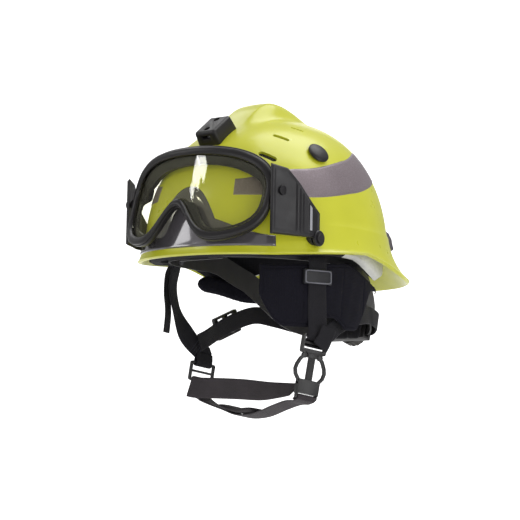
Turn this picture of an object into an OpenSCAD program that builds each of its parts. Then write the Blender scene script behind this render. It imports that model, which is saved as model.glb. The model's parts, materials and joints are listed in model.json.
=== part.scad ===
// Rescue helmet: a vented high-visibility shell with a crown ridge and a drooping rear brim,
// foam liner, size-adjusted headband, ear guards, chin harness, lamp bracket and goggles
// that swing down over the eyes.
// Millimetres. +Z is up, the face looks along -Y and the wearer's left is +X. The origin is
// the centre of the head opening, level with the brim beside the ears.

/* [Shell] */
// Half of the dome's width, without the brim
dome_half_width = 112; // [110:1:114]
// Reach of the dome in front of the origin
dome_front = 131; // [129:1:133]
// Reach of the dome behind the origin
dome_rear = 112; // [110:1:114]
// Height of the dome at its shoulders
dome_height = 141; // [139:1:143]
// Height of the crown ridge above the dome
ridge_height = 16; // [10:1:17]
// Half of the crown ridge's width at its foot
ridge_half_width = 32; // [30:1:34]
// Thickness of the shell's wall
shell_wall = 3.2; // [2.8:0.1:3.4]

/* [Brim] */
// Height of the skirt's upper step
skirt_top = 28; // [26:1:30]
// Reach of the brim beyond the dome at the front
brim_front = 6; // [5:1:7]
// Reach of the brim beyond the dome at the ears
brim_side = 6.5; // [5:0.5:7]
// Reach of the brim beyond the dome at the back
brim_rear = 32; // [28:1:34]
// How far the rim drops behind the ears
rear_drop = 18; // [16:1:20]

/* [Goggles] */
// Radius of the lens seen from above
lens_radius = 130; // [128:1:132]
// Half of the frame's width along its curve
frame_half_width = 96; // [94:1:98]
// Half of the frame's height
frame_half_height = 44; // [42:1:45]
// Height of the nose arch above the frame's lower edge
nose_arch = 36; // [30:1:37]
// Height of the frame's centre
frame_z = 52; // [51:1:53]
// Height of the swing pivot
pivot_z = 10; // [9:0.5:11]

/* [Headband] */
// Half of the headband's width
band_half_width = 80; // [79:1:81]
// Reach of the headband in front of the origin
band_front = 108; // [106:1:109]
// Reach of the headband behind the origin
band_rear = 107; // [106:1:108]
// Height of the band strip
band_height = 22; // [18:1:24]

/* [Harness] */
// Width of the webbing
web_width = 23; // [20:1:24]
// Thickness of the webbing
web_thick = 1.6; // [1.2:0.1:2]

/* [Hidden] */

roundness = 0.885;              // below 1, the dome is a little fuller than an ellipsoid
dome_foot_angle = 10;           // where the skirt hands over to the dome, seen from its centre
skirt_rows = [0, 0.1, 0.22, 0.38, 0.56, 0.76, 0.95];
dome_rows = 15;
around = 60;                    // points in each ring of the shell
liner_gap = 1.4;                // between the shell's inner face and the liner
liner_thick = 11;
strip_thick = 0.5;              // reflective tape
clear = 0.2;                    // between pieces that lie on each other

// ---------------------------------------------------------------- small helpers

function unit(v) = v / norm(v);
function mix(a, b, t) = a + (b - a) * t;
function clamp01(t) = min(1, max(0, t));
function ease(from, to, v) = let (t = clamp01((v - from) / (to - from))) t * t * (3 - 2 * t);
function signed_pow(v, e) = sign(v) * pow(abs(v), e);
function flat(rows) = [for (row = rows) for (p = row) p];

// Evaluates its children as one triangle mesh.
module as_mesh() { resize([0, 0, 0]) children(); }

// Two triangles for the cell between ring points a, b and the next row's points c, d.
function cell(a, b, c, d) = [[a, b, d], [a, d, c]];

// Closed solid between two open grids of points that lie one above the other.
module slab(top, bottom) {
    rows = len(top);
    cols = len(top[0]);
    size = rows * cols;
    function at(i, j) = i * cols + j;
    faces = concat(
        [for (i = [0 : rows - 2]) for (j = [0 : cols - 2])
            each cell(at(i, j), at(i, j + 1), at(i + 1, j), at(i + 1, j + 1))],
        [for (i = [0 : rows - 2]) for (j = [0 : cols - 2])
            each cell(size + at(i + 1, j), size + at(i + 1, j + 1), size + at(i, j), size + at(i, j + 1))],
        [for (j = [0 : cols - 2])
            each cell(at(0, j + 1), at(0, j), size + at(0, j + 1), size + at(0, j))],
        [for (j = [0 : cols - 2])
            each cell(at(rows - 1, j), at(rows - 1, j + 1), size + at(rows - 1, j), size + at(rows - 1, j + 1))],
        [for (i = [0 : rows - 2])
            each cell(at(i, 0), at(i + 1, 0), size + at(i, 0), size + at(i + 1, 0))],
        [for (i = [0 : rows - 2])
            each cell(at(i + 1, cols - 1), at(i, cols - 1), size + at(i + 1, cols - 1), size + at(i, cols - 1))]
    );
    polyhedron(points = concat(flat(top), flat(bottom)), faces = faces);
}

// Closed bowl: rings of points from the rim upwards, outside and inside, each with a pole.
module bowl(outer, inner, outer_pole, inner_pole) {
    rows = len(outer);
    n = len(outer[0]);
    size = rows * n;
    pole = 2 * size;
    function at(i, j) = i * n + j % n;
    faces = concat(
        [for (i = [0 : rows - 2]) for (j = [0 : n - 1])
            each cell(at(i, j + 1), at(i, j), at(i + 1, j + 1), at(i + 1, j))],
        [for (i = [0 : rows - 2]) for (j = [0 : n - 1])
            each cell(size + at(i, j), size + at(i, j + 1), size + at(i + 1, j), size + at(i + 1, j + 1))],
        [for (j = [0 : n - 1]) each cell(at(0, j), at(0, j + 1), size + at(0, j), size + at(0, j + 1))],
        [for (j = [0 : n - 1]) [at(rows - 1, j + 1), at(rows - 1, j), pole]],
        [for (j = [0 : n - 1]) [size + at(rows - 1, j), size + at(rows - 1, j + 1), pole + 1]]
    );
    polyhedron(points = concat(flat(outer), flat(inner), [outer_pole, inner_pole]), faces = faces);
}

// Closed loop: a row of cross-sections, each a ring of points, joined end to end.
module loop_of(sections) {
    n = len(sections);
    m = len(sections[0]);
    function at(i, j) = (i % n) * m + j % m;
    polyhedron(points = flat(sections), faces =
        [for (i = [0 : n - 1]) for (j = [0 : m - 1])
            each cell(at(i, j), at(i, j + 1), at(i + 1, j), at(i + 1, j + 1))]);
}

// Flat strip of a given width and thickness along a path; across gives its width's direction.
module ribbon(path, across, width, thick) {
    last = len(path) - 1;
    function along(i) = unit(path[min(i + 1, last)] - path[max(i - 1, 0)]);
    function side(i) = unit(across[i] - (across[i] * along(i)) * along(i));
    function face(i) = cross(along(i), side(i));
    slab(
        [for (i = [0 : last]) [for (s = [-1, 1])
            path[i] + side(i) * s * width / 2 + face(i) * thick / 2]],
        [for (i = [0 : last]) [for (s = [-1, 1])
            path[i] + side(i) * s * width / 2 - face(i) * thick / 2]]
    );
}

// Smooth curve through hand-placed points, with steps pieces between neighbours.
function curve(points, steps) = let (last = len(points) - 1) concat(
    [for (i = [0 : last - 1]) for (k = [0 : steps - 1])
        let (
            t = k / steps,
            a = points[max(i - 1, 0)],
            b = points[i],
            c = points[i + 1],
            d = points[min(i + 2, last)]
        )
        0.5 * (2 * b + (c - a) * t + (2 * a - 5 * b + 4 * c - d) * t * t
            + (3 * b - a - 3 * c + d) * t * t * t)],
    [points[last]]);

// ---------------------------------------------------------------- the shell's surface

function rim_z(u) =
    sin(u) > 0
        ? 1 - rear_drop * pow(sin(90 * clamp01(sin(u) / 0.75)), 1.2)
        : 1 - 7 * clamp01(-sin(u) / 0.7);

function brim_reach(u) =
    sin(u) > 0
        ? mix(brim_side, brim_rear, pow(sin(u), 1.5))
        : mix(brim_side, brim_front, pow(-sin(u), 2));

function dome_depth(u) = sin(u) < 0 ? dome_front : dome_rear;

// Point on the plain dome at azimuth u and elevation phi.
function plain_dome(u, phi) = let (r = pow(cos(phi), roundness)) [
    dome_half_width * signed_pow(cos(u), roundness) * r,
    dome_depth(u) * signed_pow(sin(u), roundness) * r,
    dome_height * pow(sin(phi), roundness)
];

function ridge_rise(p) =
    ridge_height * (1 - ease(ridge_half_width * 0.42, ridge_half_width, abs(p.x)))
        * ease(-74, -21, p.y) * (1 - ease(-24, 53, p.y));

function dome_outward(p) = unit([
    p.x / pow(dome_half_width, 2),
    p.y / pow(p.y < 0 ? dome_front : dome_rear, 2),
    max(p.z, 0) / pow(dome_height, 2)
]);

function dome_point(u, phi) = let (p = plain_dome(u, phi)) p + dome_outward(p) * ridge_rise(p);

// Point on the skirt: s runs from the rim at 0 to the dome's foot at 1. With flared at 0 the
// wall goes straight down, as the liner does.
function skirt_point(u, s, flared) = let (
    z = mix(rim_z(u), skirt_top, s),
    phi = asin(pow(max(z, 0) / dome_height, 1 / roundness)),
    p = plain_dome(u, phi),
    out = unit([p.x / pow(dome_half_width, 2), p.y / pow(dome_depth(u), 2), 0]),
    step = 1.5 * ease(0.1, -0.25, -sin(u) * 1.0 - 0.35) * (1 - ease(0.9, 1, s))
) [p.x, p.y, z] + flared * out * (brim_reach(u) * pow(1 - s, 2.2) + step);

// One surface for both: w is 0 at the rim, 1 at the dome's foot and 2 at the top.
function shell_point(u, w, flared = 1) = w < 1
    ? skirt_point(u, w, flared)
    : dome_point(u, min(89.9, mix(dome_foot_angle, 90, w - 1)));

function shell_normal(u, w, flared = 1) = let (
    du = shell_point(u + 0.5, w, flared) - shell_point(u - 0.5, w, flared),
    dw = shell_point(u, min(w + 0.01, 1.999), flared) - shell_point(u, max(w - 0.01, 0), flared)
) unit(cross(du, dw));

// Point at a distance off outside the shell's outer face.
function off_shell(u, w, off, flared = 1) =
    shell_point(u, w, flared) + off * shell_normal(u, w, flared);

shell_w = concat(skirt_rows, [for (k = [0 : dome_rows - 1]) 1 + k / dome_rows]);
shell_u = [for (k = [0 : around - 1]) 360 * k / around];

function ring_at(w, off, flared = 1) = [for (u = shell_u) off_shell(u, w, off, flared)];
function pole_at(off) = [0, 0, dome_height + ridge_height + off];

// Patch of the surface between two offsets. low and high are lists of w, one for each u.
module shell_patch(us, low, high, inside, outside, rows, flared = 1) {
    slab(
        [for (i = [0 : len(us) - 1]) [for (k = [0 : rows])
            off_shell(us[i], mix(low[i], high[i], k / rows), outside, flared)]],
        [for (i = [0 : len(us) - 1]) [for (k = [0 : rows])
            off_shell(us[i], mix(low[i], high[i], k / rows), inside, flared)]]
    );
}

// Puts its children on the shell at azimuth u and row w, with +Z outwards.
module on_shell(u, w, off = 0) {
    n = shell_normal(u, w);
    p = off_shell(u, w, off);
    translate(p) rotate([0, acos(n.z), atan2(n.y, n.x)]) children();
}

// ---------------------------------------------------------------- shell and its trim

// Vent slots on the left: azimuth, row, length and width of each.
vents = [[-49, 1.335, 19, 6.5], [-40, 1.50, 17, 4.6], [-23.5, 1.62, 13, 2.6]];
vent_turn = 61;
crown_bolt_u = -17;
crown_bolt_w = 1.38;
bracket_u = -90;
bracket_w = 1.53;

module vent_slot(v) {
    on_shell(v[0], v[1]) rotate([0, 0, vent_turn])
        hull() for (s = [-1, 1])
            translate([s * (v[2] - v[3]) / 2, 0, -7]) cylinder(h = 14, d = v[3], $fn = 20);
}

module outer_shell() {
    color([0.78, 0.88, 0.16]) as_mesh() difference() {
        bowl([for (w = shell_w) ring_at(w, 0)], [for (w = shell_w) ring_at(w, -shell_wall)],
            pole_at(0), pole_at(-shell_wall));
        for (side = [0, 1]) mirror([side, 0, 0]) {
            for (v = vents) vent_slot(v);
            on_shell(crown_bolt_u, crown_bolt_w)
                translate([0, 0, -8]) cylinder(h = 16, r = 3.6, $fn = 24);
        }
        at_bracket() for (y = bracket_screw_y)
            translate([0, y, -16]) cylinder(h = 24, r = 1.9, $fn = 16);
    }
}

liner_w = concat([0.35, 0.65, 0.92], [for (k = [0 : 7]) 1 + (2 * k + 0.5) / 16]);
liner_out = -shell_wall - liner_gap;

// The liner follows the plain dome, so the crown ridge stays hollow above it.
function liner_point(u, w, off) = let (
    p = w < 1 ? skirt_point(u, w, 0) : plain_dome(u, mix(dome_foot_angle, 90, w - 1))
) p + off * dome_outward(p);
function liner_ring(w, off) = [for (u = shell_u) liner_point(u, w, off)];
// The liner's foot hangs a little under the rim behind the ears and stays high at the nape.
function liner_foot(off) = [for (u = shell_u) let (p = liner_point(u, 0.1, off))
    [p.x, p.y, mix(rim_z(u) + 1 - 5.5 * ease(-0.3, 0.25, sin(u)), -2, ease(0.35, 0.75, sin(u)))]];

module impact_liner() {
    inside = liner_out - liner_thick;
    color([0.9, 0.9, 0.86]) as_mesh() difference() {
        bowl(
            concat([liner_foot(liner_out)], [for (w = liner_w) liner_ring(w, liner_out)]),
            concat([liner_foot(inside)], [for (w = liner_w) liner_ring(w, inside)]),
            [0, 0, dome_height + liner_out], [0, 0, dome_height + inside]
        );
        for (side = [0, 1]) mirror([side, 0, 0])
            at_anchor() cube([4, anchor_wide + 2, 19], center = true);
        for (side = [0, 1]) mirror([side, 0, 0])
            on_shell(crown_bolt_u, crown_bolt_w)
                translate([0, 0, -30]) cylinder(h = 40, r = 11, $fn = 24);
        at_bracket() for (y = bracket_screw_y)
            translate([0, y, -30]) cylinder(h = 40, r = 6, $fn = 16);
    }
}

// The tape climbs to the back. Heights are turned into rows of the shell's surface.
tape_u = [for (k = [0 : 26]) -66 + 5.6 * k];
function row_at_height(u, z) = let (
    foot = plain_dome(u, dome_foot_angle).z,
    phi = asin(pow(max(z, foot) / dome_height, 1 / roundness))
) 1 + (phi - dome_foot_angle) / (90 - dome_foot_angle);
function tape_low(u) = 50 + 34 * ease(-30, 50, u);
function tape_high(u) = 66 + 12 * ease(-66, -30, u) + 32 * ease(-34, 34, u);

module tape_strip() {
    shell_patch(tape_u,
        [for (u = tape_u) row_at_height(u, tape_low(u))],
        [for (u = tape_u) row_at_height(u, tape_high(u))],
        0.05, 0.05 + strip_thick, 3);
}

module reflective_tape_left() { color([0.52, 0.50, 0.52]) tape_strip(); }
module reflective_tape_right() { color([0.52, 0.50, 0.52]) mirror([1, 0, 0]) tape_strip(); }

// Glossy plate over the front of the brim, tall in the middle.
plate_u = [for (k = [0 : 20]) -90 + 4.6 * (k - 10)];
function plate_top(u) = mix(0.5, 1.16, pow(cos((u + 90) * 90 / 50), 2.4));

module peak_plate() {
    color([0.2, 0.2, 0.21])
        shell_patch(plate_u, [for (u = plate_u) 0.2], [for (u = plate_u) plate_top(u)], 0.1, 1.3, 6);
}

bracket_size = [28, 33, 14];
bracket_screw_y = [-9, 9];

// Frame of the lamp bracket: +Z stands out of the ridge and +Y runs up it.
module at_bracket() {
    n = shell_normal(bracket_u, bracket_w);
    translate(shell_point(bracket_u, bracket_w)) rotate([atan2(-n.y, n.z), 0, 0]) children();
}

module lamp_bracket() {
    x = bracket_size.x / 2;
    y = bracket_size.y / 2;
    color([0.13, 0.13, 0.14]) as_mesh() difference() {
        at_bracket() difference() {
            hull() {
                for (sx = [-1, 1]) for (sy = [-1, 1])
                    translate([sx * (x - 3), sy * (y - 3), -7]) cylinder(h = 1, r = 3, $fn = 24);
                for (sx = [-1, 1]) for (sy = [-1, 1])
                    translate([sx * (x - 4), sy * (y - 4), bracket_size.z - 3]) sphere(r = 3, $fn = 24);
            }
            translate([-5.5, -y - 4, 6]) cube([11, 22, 3.5]);
            for (sy = bracket_screw_y)
                translate([0, sy, 4]) cylinder(h = 20, r = 3.2, $fn = 24);
            for (sy = bracket_screw_y)
                translate([0, sy, -10]) cylinder(h = 20, r = 1.9, $fn = 24);
        }
        bracket_bed();
    }
}

// What lies inside the shell's outer face under the bracket.
bed_u = [for (k = [0 : 12]) -90 + 4 * (k - 6)];
module bracket_bed() {
    shell_patch(bed_u, [for (u = bed_u) 1.2], [for (u = bed_u) 1.85], -16, clear, 16);
}

module lamp_bracket_screws() {
    color([0.75, 0.75, 0.76]) at_bracket() for (y = bracket_screw_y) {
        translate([0, y, 4.1]) cylinder(h = 2.2, r = 2.9, $fn = 32);
        translate([0, y, -9]) cylinder(h = 13.2, r = 1.6, $fn = 32);
        translate([0, y, -8.6]) cylinder(h = 2.4, r = 3.4, $fn = 6);
    }
}

module crown_bolt() {
    on_shell(crown_bolt_u, crown_bolt_w) {
        translate([0, 0, 1.2]) cylinder(h = 1.6, r = 11, $fn = 64);
        translate([0, 0, 2.8]) cylinder(h = 1.6, r1 = 11, r2 = 8.4, $fn = 64);
        translate([0, 0, -10]) cylinder(h = 11.3, r = 3.2, $fn = 32);
        translate([0, 0, -9.6]) cylinder(h = 2.6, r = 8, $fn = 48);
    }
}

module crown_bolt_left() { color([0.12, 0.11, 0.12]) crown_bolt(); }
module crown_bolt_right() { color([0.12, 0.11, 0.12]) mirror([1, 0, 0]) crown_bolt(); }

screen_u = [for (k = [0 : 10]) -66 + 5 * k];
module vent_screen() {
    shell_patch(screen_u, [for (u = screen_u) 1.24], [for (u = screen_u) 1.72],
        -shell_wall - 1.1, -shell_wall - 0.3, 7);
}
module vent_screen_with_hole() {
    as_mesh() difference() {
        vent_screen();
        on_shell(crown_bolt_u, crown_bolt_w)
            translate([0, 0, -30]) cylinder(h = 40, r = 9.5, $fn = 24);
    }
}
module vent_screen_left() { color([0.1, 0.1, 0.1]) vent_screen_with_hole(); }
module vent_screen_right() { color([0.1, 0.1, 0.1]) mirror([1, 0, 0]) vent_screen_with_hole(); }

rear_clip_u = [for (k = [0 : 6]) 47 + 1.6 * (k - 3)];
module rear_clip() {
    shell_patch(rear_clip_u, [for (u = rear_clip_u) 0.66], [for (u = rear_clip_u) 1.02], 0.1, 4.2, 4);
}
module rear_clip_left() { color([0.45, 0.44, 0.46]) rear_clip(); }
module rear_clip_right() { color([0.45, 0.44, 0.46]) mirror([1, 0, 0]) rear_clip(); }

// ---------------------------------------------------------------- goggles

pivot = [110.5, -64, pivot_z];
pin_radius = 3;
frame_lean = 0.26;              // how far the frame leans back for each millimetre of height
frame_y = -136;                 // front of the lens's middle
lower_half_height = frame_half_height + 6;
squareness = 3.3;               // exponent of the frame's outline
outline_points = 72;
hinge_at = [92, -103, 52];      // where the arm holds the frame

// Goggle space: s along the lens's curve, v up, d outwards from the lens's back face.
function goggle(s, v, d) = let (a = s / lens_radius * 180 / PI) [
    (lens_radius + d) * sin(a),
    frame_y + lens_radius - (lens_radius + d) * cos(a) + v * frame_lean,
    frame_z + v
];

function nose(s, wide) = nose_arch * exp(-pow(s / wide, 2));
function edge_height(s, w, h) = h * pow(max(0, 1 - pow(abs(s) / w, squareness)), 1 / squareness);
function crown(s, w) = 3 - 9 * pow(s / w, 2);

// Outline point of the frame, shrunk by inset, at turn t.
function outline(t, inset) = let (
    w = frame_half_width - inset * 0.8,
    h = (sin(t) > 0 ? frame_half_height : lower_half_height) - inset * 0.9,
    s = w * signed_pow(cos(t), 2 / squareness),
    v = h * signed_pow(sin(t), 2 / squareness)
) [s, v > 0 ? v + crown(s, w) : v + nose(s, 23) * ease(0, -0.3, sin(t))];

// The frame gets thin over the nose and along its lower edge, so that it clears the brim.
function near_nose(t) = let (s = frame_half_width * signed_pow(cos(t), 2 / squareness))
    exp(-pow(s / 30, 2)) * ease(0.1, -0.3, sin(t));
function frame_back(t) = -mix(mix(4.2, 13, ease(-0.1, 0.7, sin(t))), 1.6, near_nose(t));
function foam_depth(t) = mix(mix(0.4, 2.6, ease(0, 0.9, sin(t))), 0.5, near_nose(t));

function frame_section(t) = let (b = frame_back(t))
    [[1.5, b], [0, 0.75 * b], [0, 0.4], [0.6, 2.4], [4.6, 2.4], [4.6, 0], [12, 0], [12, 0.7 * b], [9, b]];
function bezel_section(t) = [[1.2, 2.6], [2.2, 5.2], [4.5, 6.2], [9.5, 5.4], [11.5, 2.6]];
function foam_section(t) = let (b = frame_back(t) - 0.2, g = foam_depth(t))
    [[8.8, b], [8.4, b - 0.7 * g], [7, b - g], [4.6, b - g], [3.2, b - 0.7 * g], [2.6, b]];

function placed(t, section) = [for (q = section) let (o = outline(t, q[0])) goggle(o[0], o[1], q[1])];
function turns() = [for (k = [0 : outline_points - 1]) 360 * k / outline_points];

module goggle_frame() {
    color([0.1, 0.1, 0.11]) loop_of([for (t = turns()) placed(t, frame_section(t))]);
}
module goggle_bezel() {
    color([0.12, 0.12, 0.13]) loop_of([for (t = turns()) placed(t, bezel_section(t))]);
}
module goggle_foam() {
    color([0.16, 0.16, 0.16]) loop_of([for (t = turns()) placed(t, foam_section(t))]);
}

lens_inset = 5;
lens_cols = 40;
module goggle_lens() {
    w = frame_half_width - lens_inset;
    high = frame_half_height - lens_inset * 0.9;
    low = lower_half_height - lens_inset * 0.9;
    function column(k) = w * 0.998 * signed_pow(cos(180 - 180 * k / lens_cols), 0.8);
    function top(s) = edge_height(s, w, high) + crown(s, w);
    function bottom(s) = nose(s, 23) - edge_height(s, w, low);
    function sheet_at(d) = [for (k = [0 : lens_cols]) let (s = column(k))
        [for (j = [0 : 6]) goggle(s, mix(bottom(s), max(top(s), bottom(s) + 1), j / 6), d)]];
    color([0.8, 0.85, 0.85, 0.35]) slab(sheet_at(2.3), sheet_at(0.1));
}

// Lug and pin at the frame's end; the arm turns on the pin.
module goggle_hinge() {
    translate(hinge_at) rotate([0, 90, 0]) {
        translate([0, 0, -6.5]) cylinder(h = 6.1, r = 6, $fn = 48);
        translate([0, 0, -2]) cylinder(h = 8.4, r = pin_radius, $fn = 48);
        translate([0, 0, 6.2]) cylinder(h = 1.4, r = 4.6, $fn = 48);
    }
}
module goggle_hinge_left() { color([0.12, 0.12, 0.13]) goggle_hinge(); }
module goggle_hinge_right() { color([0.12, 0.12, 0.13]) mirror([1, 0, 0]) goggle_hinge(); }

// Arm from the frame's end back to the clip, bowed outwards so that it clears the brim.
arm_path = [[94.6, -107, 44], [99.5, -97, 42], [105, -87, 35.5], [108.6, -76, 28.5], [110.5, -62, 21.5]];
arm_heights = [66, 63, 51, 37, 24];
arm_half = 1.5;

module arm_plate() {
    slab(
        [for (i = [0 : 4]) [for (s = [-1, 1])
            arm_path[i] + [arm_half, -arm_half * 0.5, s * arm_heights[i] / 2]]],
        [for (i = [0 : 4]) [for (s = [-1, 1])
            arm_path[i] + [-arm_half, arm_half * 0.5, s * arm_heights[i] / 2]]]
    );
}

module at_pivot() { translate(pivot) rotate([0, 90, 0]) children(); }

module outrigger() {
    difference() {
        union() {
            arm_plate();
            at_pivot() translate([0, 0, -arm_half]) cylinder(h = 2 * arm_half, r = 7.5, $fn = 48);
        }
        at_pivot() translate([0, 0, -10]) cylinder(h = 20, r = pin_radius + 0.08, $fn = 48);
        translate(hinge_at) rotate([0, 90, 0])
            translate([0, 0, -2]) cylinder(h = 10, r = pin_radius + 0.08, $fn = 48);
        // flat for the pin's head
        translate(hinge_at + [5.9, 0, 0]) rotate([0, 90, 0]) cylinder(h = 10, r = 5.2, $fn = 48);
    }
}
module outrigger_left() { color([0.09, 0.09, 0.13]) outrigger(); }
module outrigger_right() { color([0.09, 0.09, 0.13]) mirror([1, 0, 0]) outrigger(); }

// Clip base on the shell with the pin that the arm turns on.
clip_u = [for (k = [0 : 8]) -33 + 4 * (k - 4)];
module goggle_clip() {
    difference() {
        at_pivot() {
            translate([0, 0, -10]) cylinder(h = 6.4, r = 6.5, $fn = 48);
            translate([0, 0, -4]) cylinder(h = 6.4, r = pin_radius, $fn = 48);
            translate([0, 0, arm_half + 0.3]) cylinder(h = 1.5, r = 4.8, $fn = 48);
        }
        as_mesh() shell_patch(clip_u, [for (u = clip_u) 0.05], [for (u = clip_u) 1.2], -16, clear, 10);
    }
}
module goggle_clip_left() { color([0.12, 0.12, 0.12]) goggle_clip(); }
module goggle_clip_right() { color([0.12, 0.12, 0.12]) mirror([1, 0, 0]) goggle_clip(); }

// ---------------------------------------------------------------- headband

front_run = 24;                 // half of the straight stretch at the brow
nape_tilt = 15;
nape_z = -58;
nape_x = 13;                    // the adjuster sits off centre
band_thick = 1.6;

function band_z(y) = 4 - 19 * ease(0, 62, y) + (nape_z + 15) * ease(45, band_rear, y);
function band_lean(y) = nape_tilt * ease(40, band_rear - 3, y);
function band_across(y) = [0, sin(band_lean(y)), cos(band_lean(y))];

// Left half of the band, t 0 to 1 from the brow's side to the tail, whose end is at x = stop.
function band_arc(t, stop) = t < 0.5
    ? let (a = 180 * t) [front_run + (band_half_width - front_run) * sin(a), -band_front * cos(a)]
    : let (a = 180 * (t - 0.5)) [stop + (band_half_width - stop) * cos(a), band_rear * sin(a)];

module half_band(stop) {
    path = concat([[12, -band_front, band_z(-band_front)]],
        [for (k = [0 : 26]) let (p = band_arc(k / 26, stop)) [p[0], p[1], band_z(p[1])]]);
    ribbon(path, [for (p = path) band_across(p.y)], band_height, band_thick);
}

// Nape frame: +Y is the knob's axis, out of the back and a little down.
module at_nape() { translate([nape_x, band_rear, nape_z]) rotate([-nape_tilt, 0, 0]) children(); }

rack_pitch = PI * 1.2;
pinion_teeth = 10;
pinion_radius = rack_pitch * pinion_teeth / (2 * PI);
tooth_depth = 1.5;
rack_reach = 5 * rack_pitch;
tail_stop = rack_reach + 4.6;    // from the knob to where a band's full strip ends

// Toothed bar that faces the pinion from above, from x0 to x1.
module rack(x0, x1) {
    teeth = floor((2 * rack_reach - 2) / rack_pitch);
    body_low = pinion_radius + tooth_depth / 2 + 0.1;
    translate([0, band_thick / 2, 0]) rotate([90, 0, 0]) linear_extrude(band_thick) union() {
        translate([x0, body_low]) square([x1 - x0, 3.8]);
        for (k = [0 : teeth - 1]) translate([x0 + (k + 0.5) * rack_pitch, body_low])
            polygon([[-0.8, 0.1], [0.8, 0.1], [0.3, -tooth_depth], [-0.3, -tooth_depth]]);
    }
}

module band_left() {
    color([0.1, 0.1, 0.1]) {
        half_band(tail_stop + nape_x);
        at_nape() rack(-rack_reach, tail_stop + 0.5);
    }
}
module band_right() {
    color([0.1, 0.1, 0.1]) {
        mirror([1, 0, 0]) half_band(tail_stop - nape_x);
        at_nape() rotate([0, 180, 0]) rack(-rack_reach, tail_stop + 0.5);
    }
}

module brow_band() {
    path = [for (k = [0 : 8]) [28 * (k - 4) / 4, -band_front + 3, band_z(-band_front)]];
    color([0.12, 0.12, 0.12]) ribbon(path, [for (p = path) [0, 0, 1]], band_height + 2, 2);
}
module brow_pad() {
    path = [for (k = [0 : 16]) let (a = 6.5 * (k - 8))
        [80 * sin(a), -band_front + 8.4 + 80 * (1 - cos(a)) * 1.25, 5]];
    color([0.14, 0.14, 0.15]) ribbon(path, [for (p = path) [0, 0, 1]], 24, 7);
}
module nape_pad() {
    path = [for (k = [0 : 12]) let (x = 5.5 * (k - 6)) [x + nape_x, band_rear - 13 - 0.003 * x * x, nape_z]];
    color([0.12, 0.12, 0.14]) ribbon(path, [for (p = path) [0, sin(nape_tilt), cos(nape_tilt)]], 32, 8);
}

housing_half = 30;
module ratchet_housing() {
    color([0.12, 0.12, 0.12]) at_nape() difference() {
        union() {
            translate([-housing_half, -6, -15]) cube([2 * housing_half, 12, 30]);
            rotate([-90, 0, 0]) translate([0, 0, 5]) cylinder(h = 3, r = 13, $fn = 64);
        }
        translate([-50, -1.6, -12.6]) cube([100, 3.2, 25.2]);
        for (x = [-1, 1]) translate([x * housing_half, -0.8, 0]) cube([17, 6, 25.2], center = true);
        rotate([-90, 0, 0]) translate([0, 0, -2.4]) cylinder(h = 4.8, r = 8.6, $fn = 64);
        rotate([-90, 0, 0]) cylinder(h = 20, r = 2.98, $fn = 64);
    }
}

module ratchet_knob() {
    color([0.14, 0.13, 0.12]) at_nape() rotate([-90, 0, 0]) {
        difference() {
            union() {
                translate([0, 0, 8.4]) cylinder(h = 11, r = 16, $fn = 72);
                translate([0, 0, 19.4]) cylinder(h = 1.6, r1 = 16, r2 = 14, $fn = 72);
            }
            for (k = [0 : 17]) rotate([0, 0, 20 * k])
                translate([16.8, 0, 7]) cylinder(h = 16, r = 1.8, $fn = 24);
        }
        translate([0, 0, -0.7]) cylinder(h = 10, r = 2.9, $fn = 48);
        translate([0, 0, -0.7]) linear_extrude(1.4) union() {
            circle(r = pinion_radius - tooth_depth / 2 - 0.35, $fn = 48);
            for (k = [0 : pinion_teeth - 1]) rotate(360 * k / pinion_teeth)
                translate([0, pinion_radius - tooth_depth / 2 - 0.5])
                    polygon([[-0.75, -0.3], [0.75, -0.3], [0.3, tooth_depth], [-0.3, tooth_depth]]);
        }
    }
}

// ---------------------------------------------------------------- crown suspension

function crown_arc(front, back, low, high) = [for (k = [0 : 24]) let (a = 7.5 * k)
    [mix(-front, back, (1 - signed_pow(cos(a), 0.8)) / 2), low + (high - low) * pow(sin(a), 0.8)]];

module crown_strap_long() {
    path = [for (p = crown_arc(105, 88, 24, 112)) [0, p[0], p[1]]];
    color([0.1, 0.1, 0.12]) ribbon(path, [for (p = path) [1, 0, 0]], web_width, 1.4);
}
module crown_strap_cross() {
    path = [for (p = crown_arc(87, 87, 24, 114.6)) [p[0], 0, p[1]]];
    color([0.1, 0.1, 0.12]) ribbon(path, [for (p = path) [0, 1, 0]], web_width, 1.4);
}
module crown_pad() {
    color([0.15, 0.15, 0.17]) translate([0, -8, 102])
        rotate_extrude($fn = 48) polygon([[0, 0], [22, 0], [25, 2], [25, 6], [22, 8], [0, 8]]);
}

// ---------------------------------------------------------------- ear guards

guard_a = 98;
guard_b = 118;
guard_u = [for (k = [0 : 28]) -51.5 + 4 * k];

// Lower edge of the left guard: a front lobe, a dip under the strap and a rear lobe.
function guard_low(u) =
    -73 + 44 * pow(ease(-36, -58, u), 1.5) + 10 * ease(-24, -14, u) * ease(0, -10, u)
        + 43 * ease(6, 26, u);
function guard_high(u) = rim_z(u) - 7 - 2 * ease(0, 0.3, sin(u));
function guard_point(u, z, off) = [(guard_a + off) * cos(u), (guard_b + off) * sin(u), z];

module ear_guard_left() {
    function grid(deep) = [for (u = guard_u) [for (k = [0 : 6])
        guard_point(u, mix(guard_low(u), guard_high(u), k / 6), -deep * mix(5, 1.2, ease(26, 36, u)))]];
    color([0.08, 0.09, 0.16]) slab(grid(0), grid(1));
}

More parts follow.
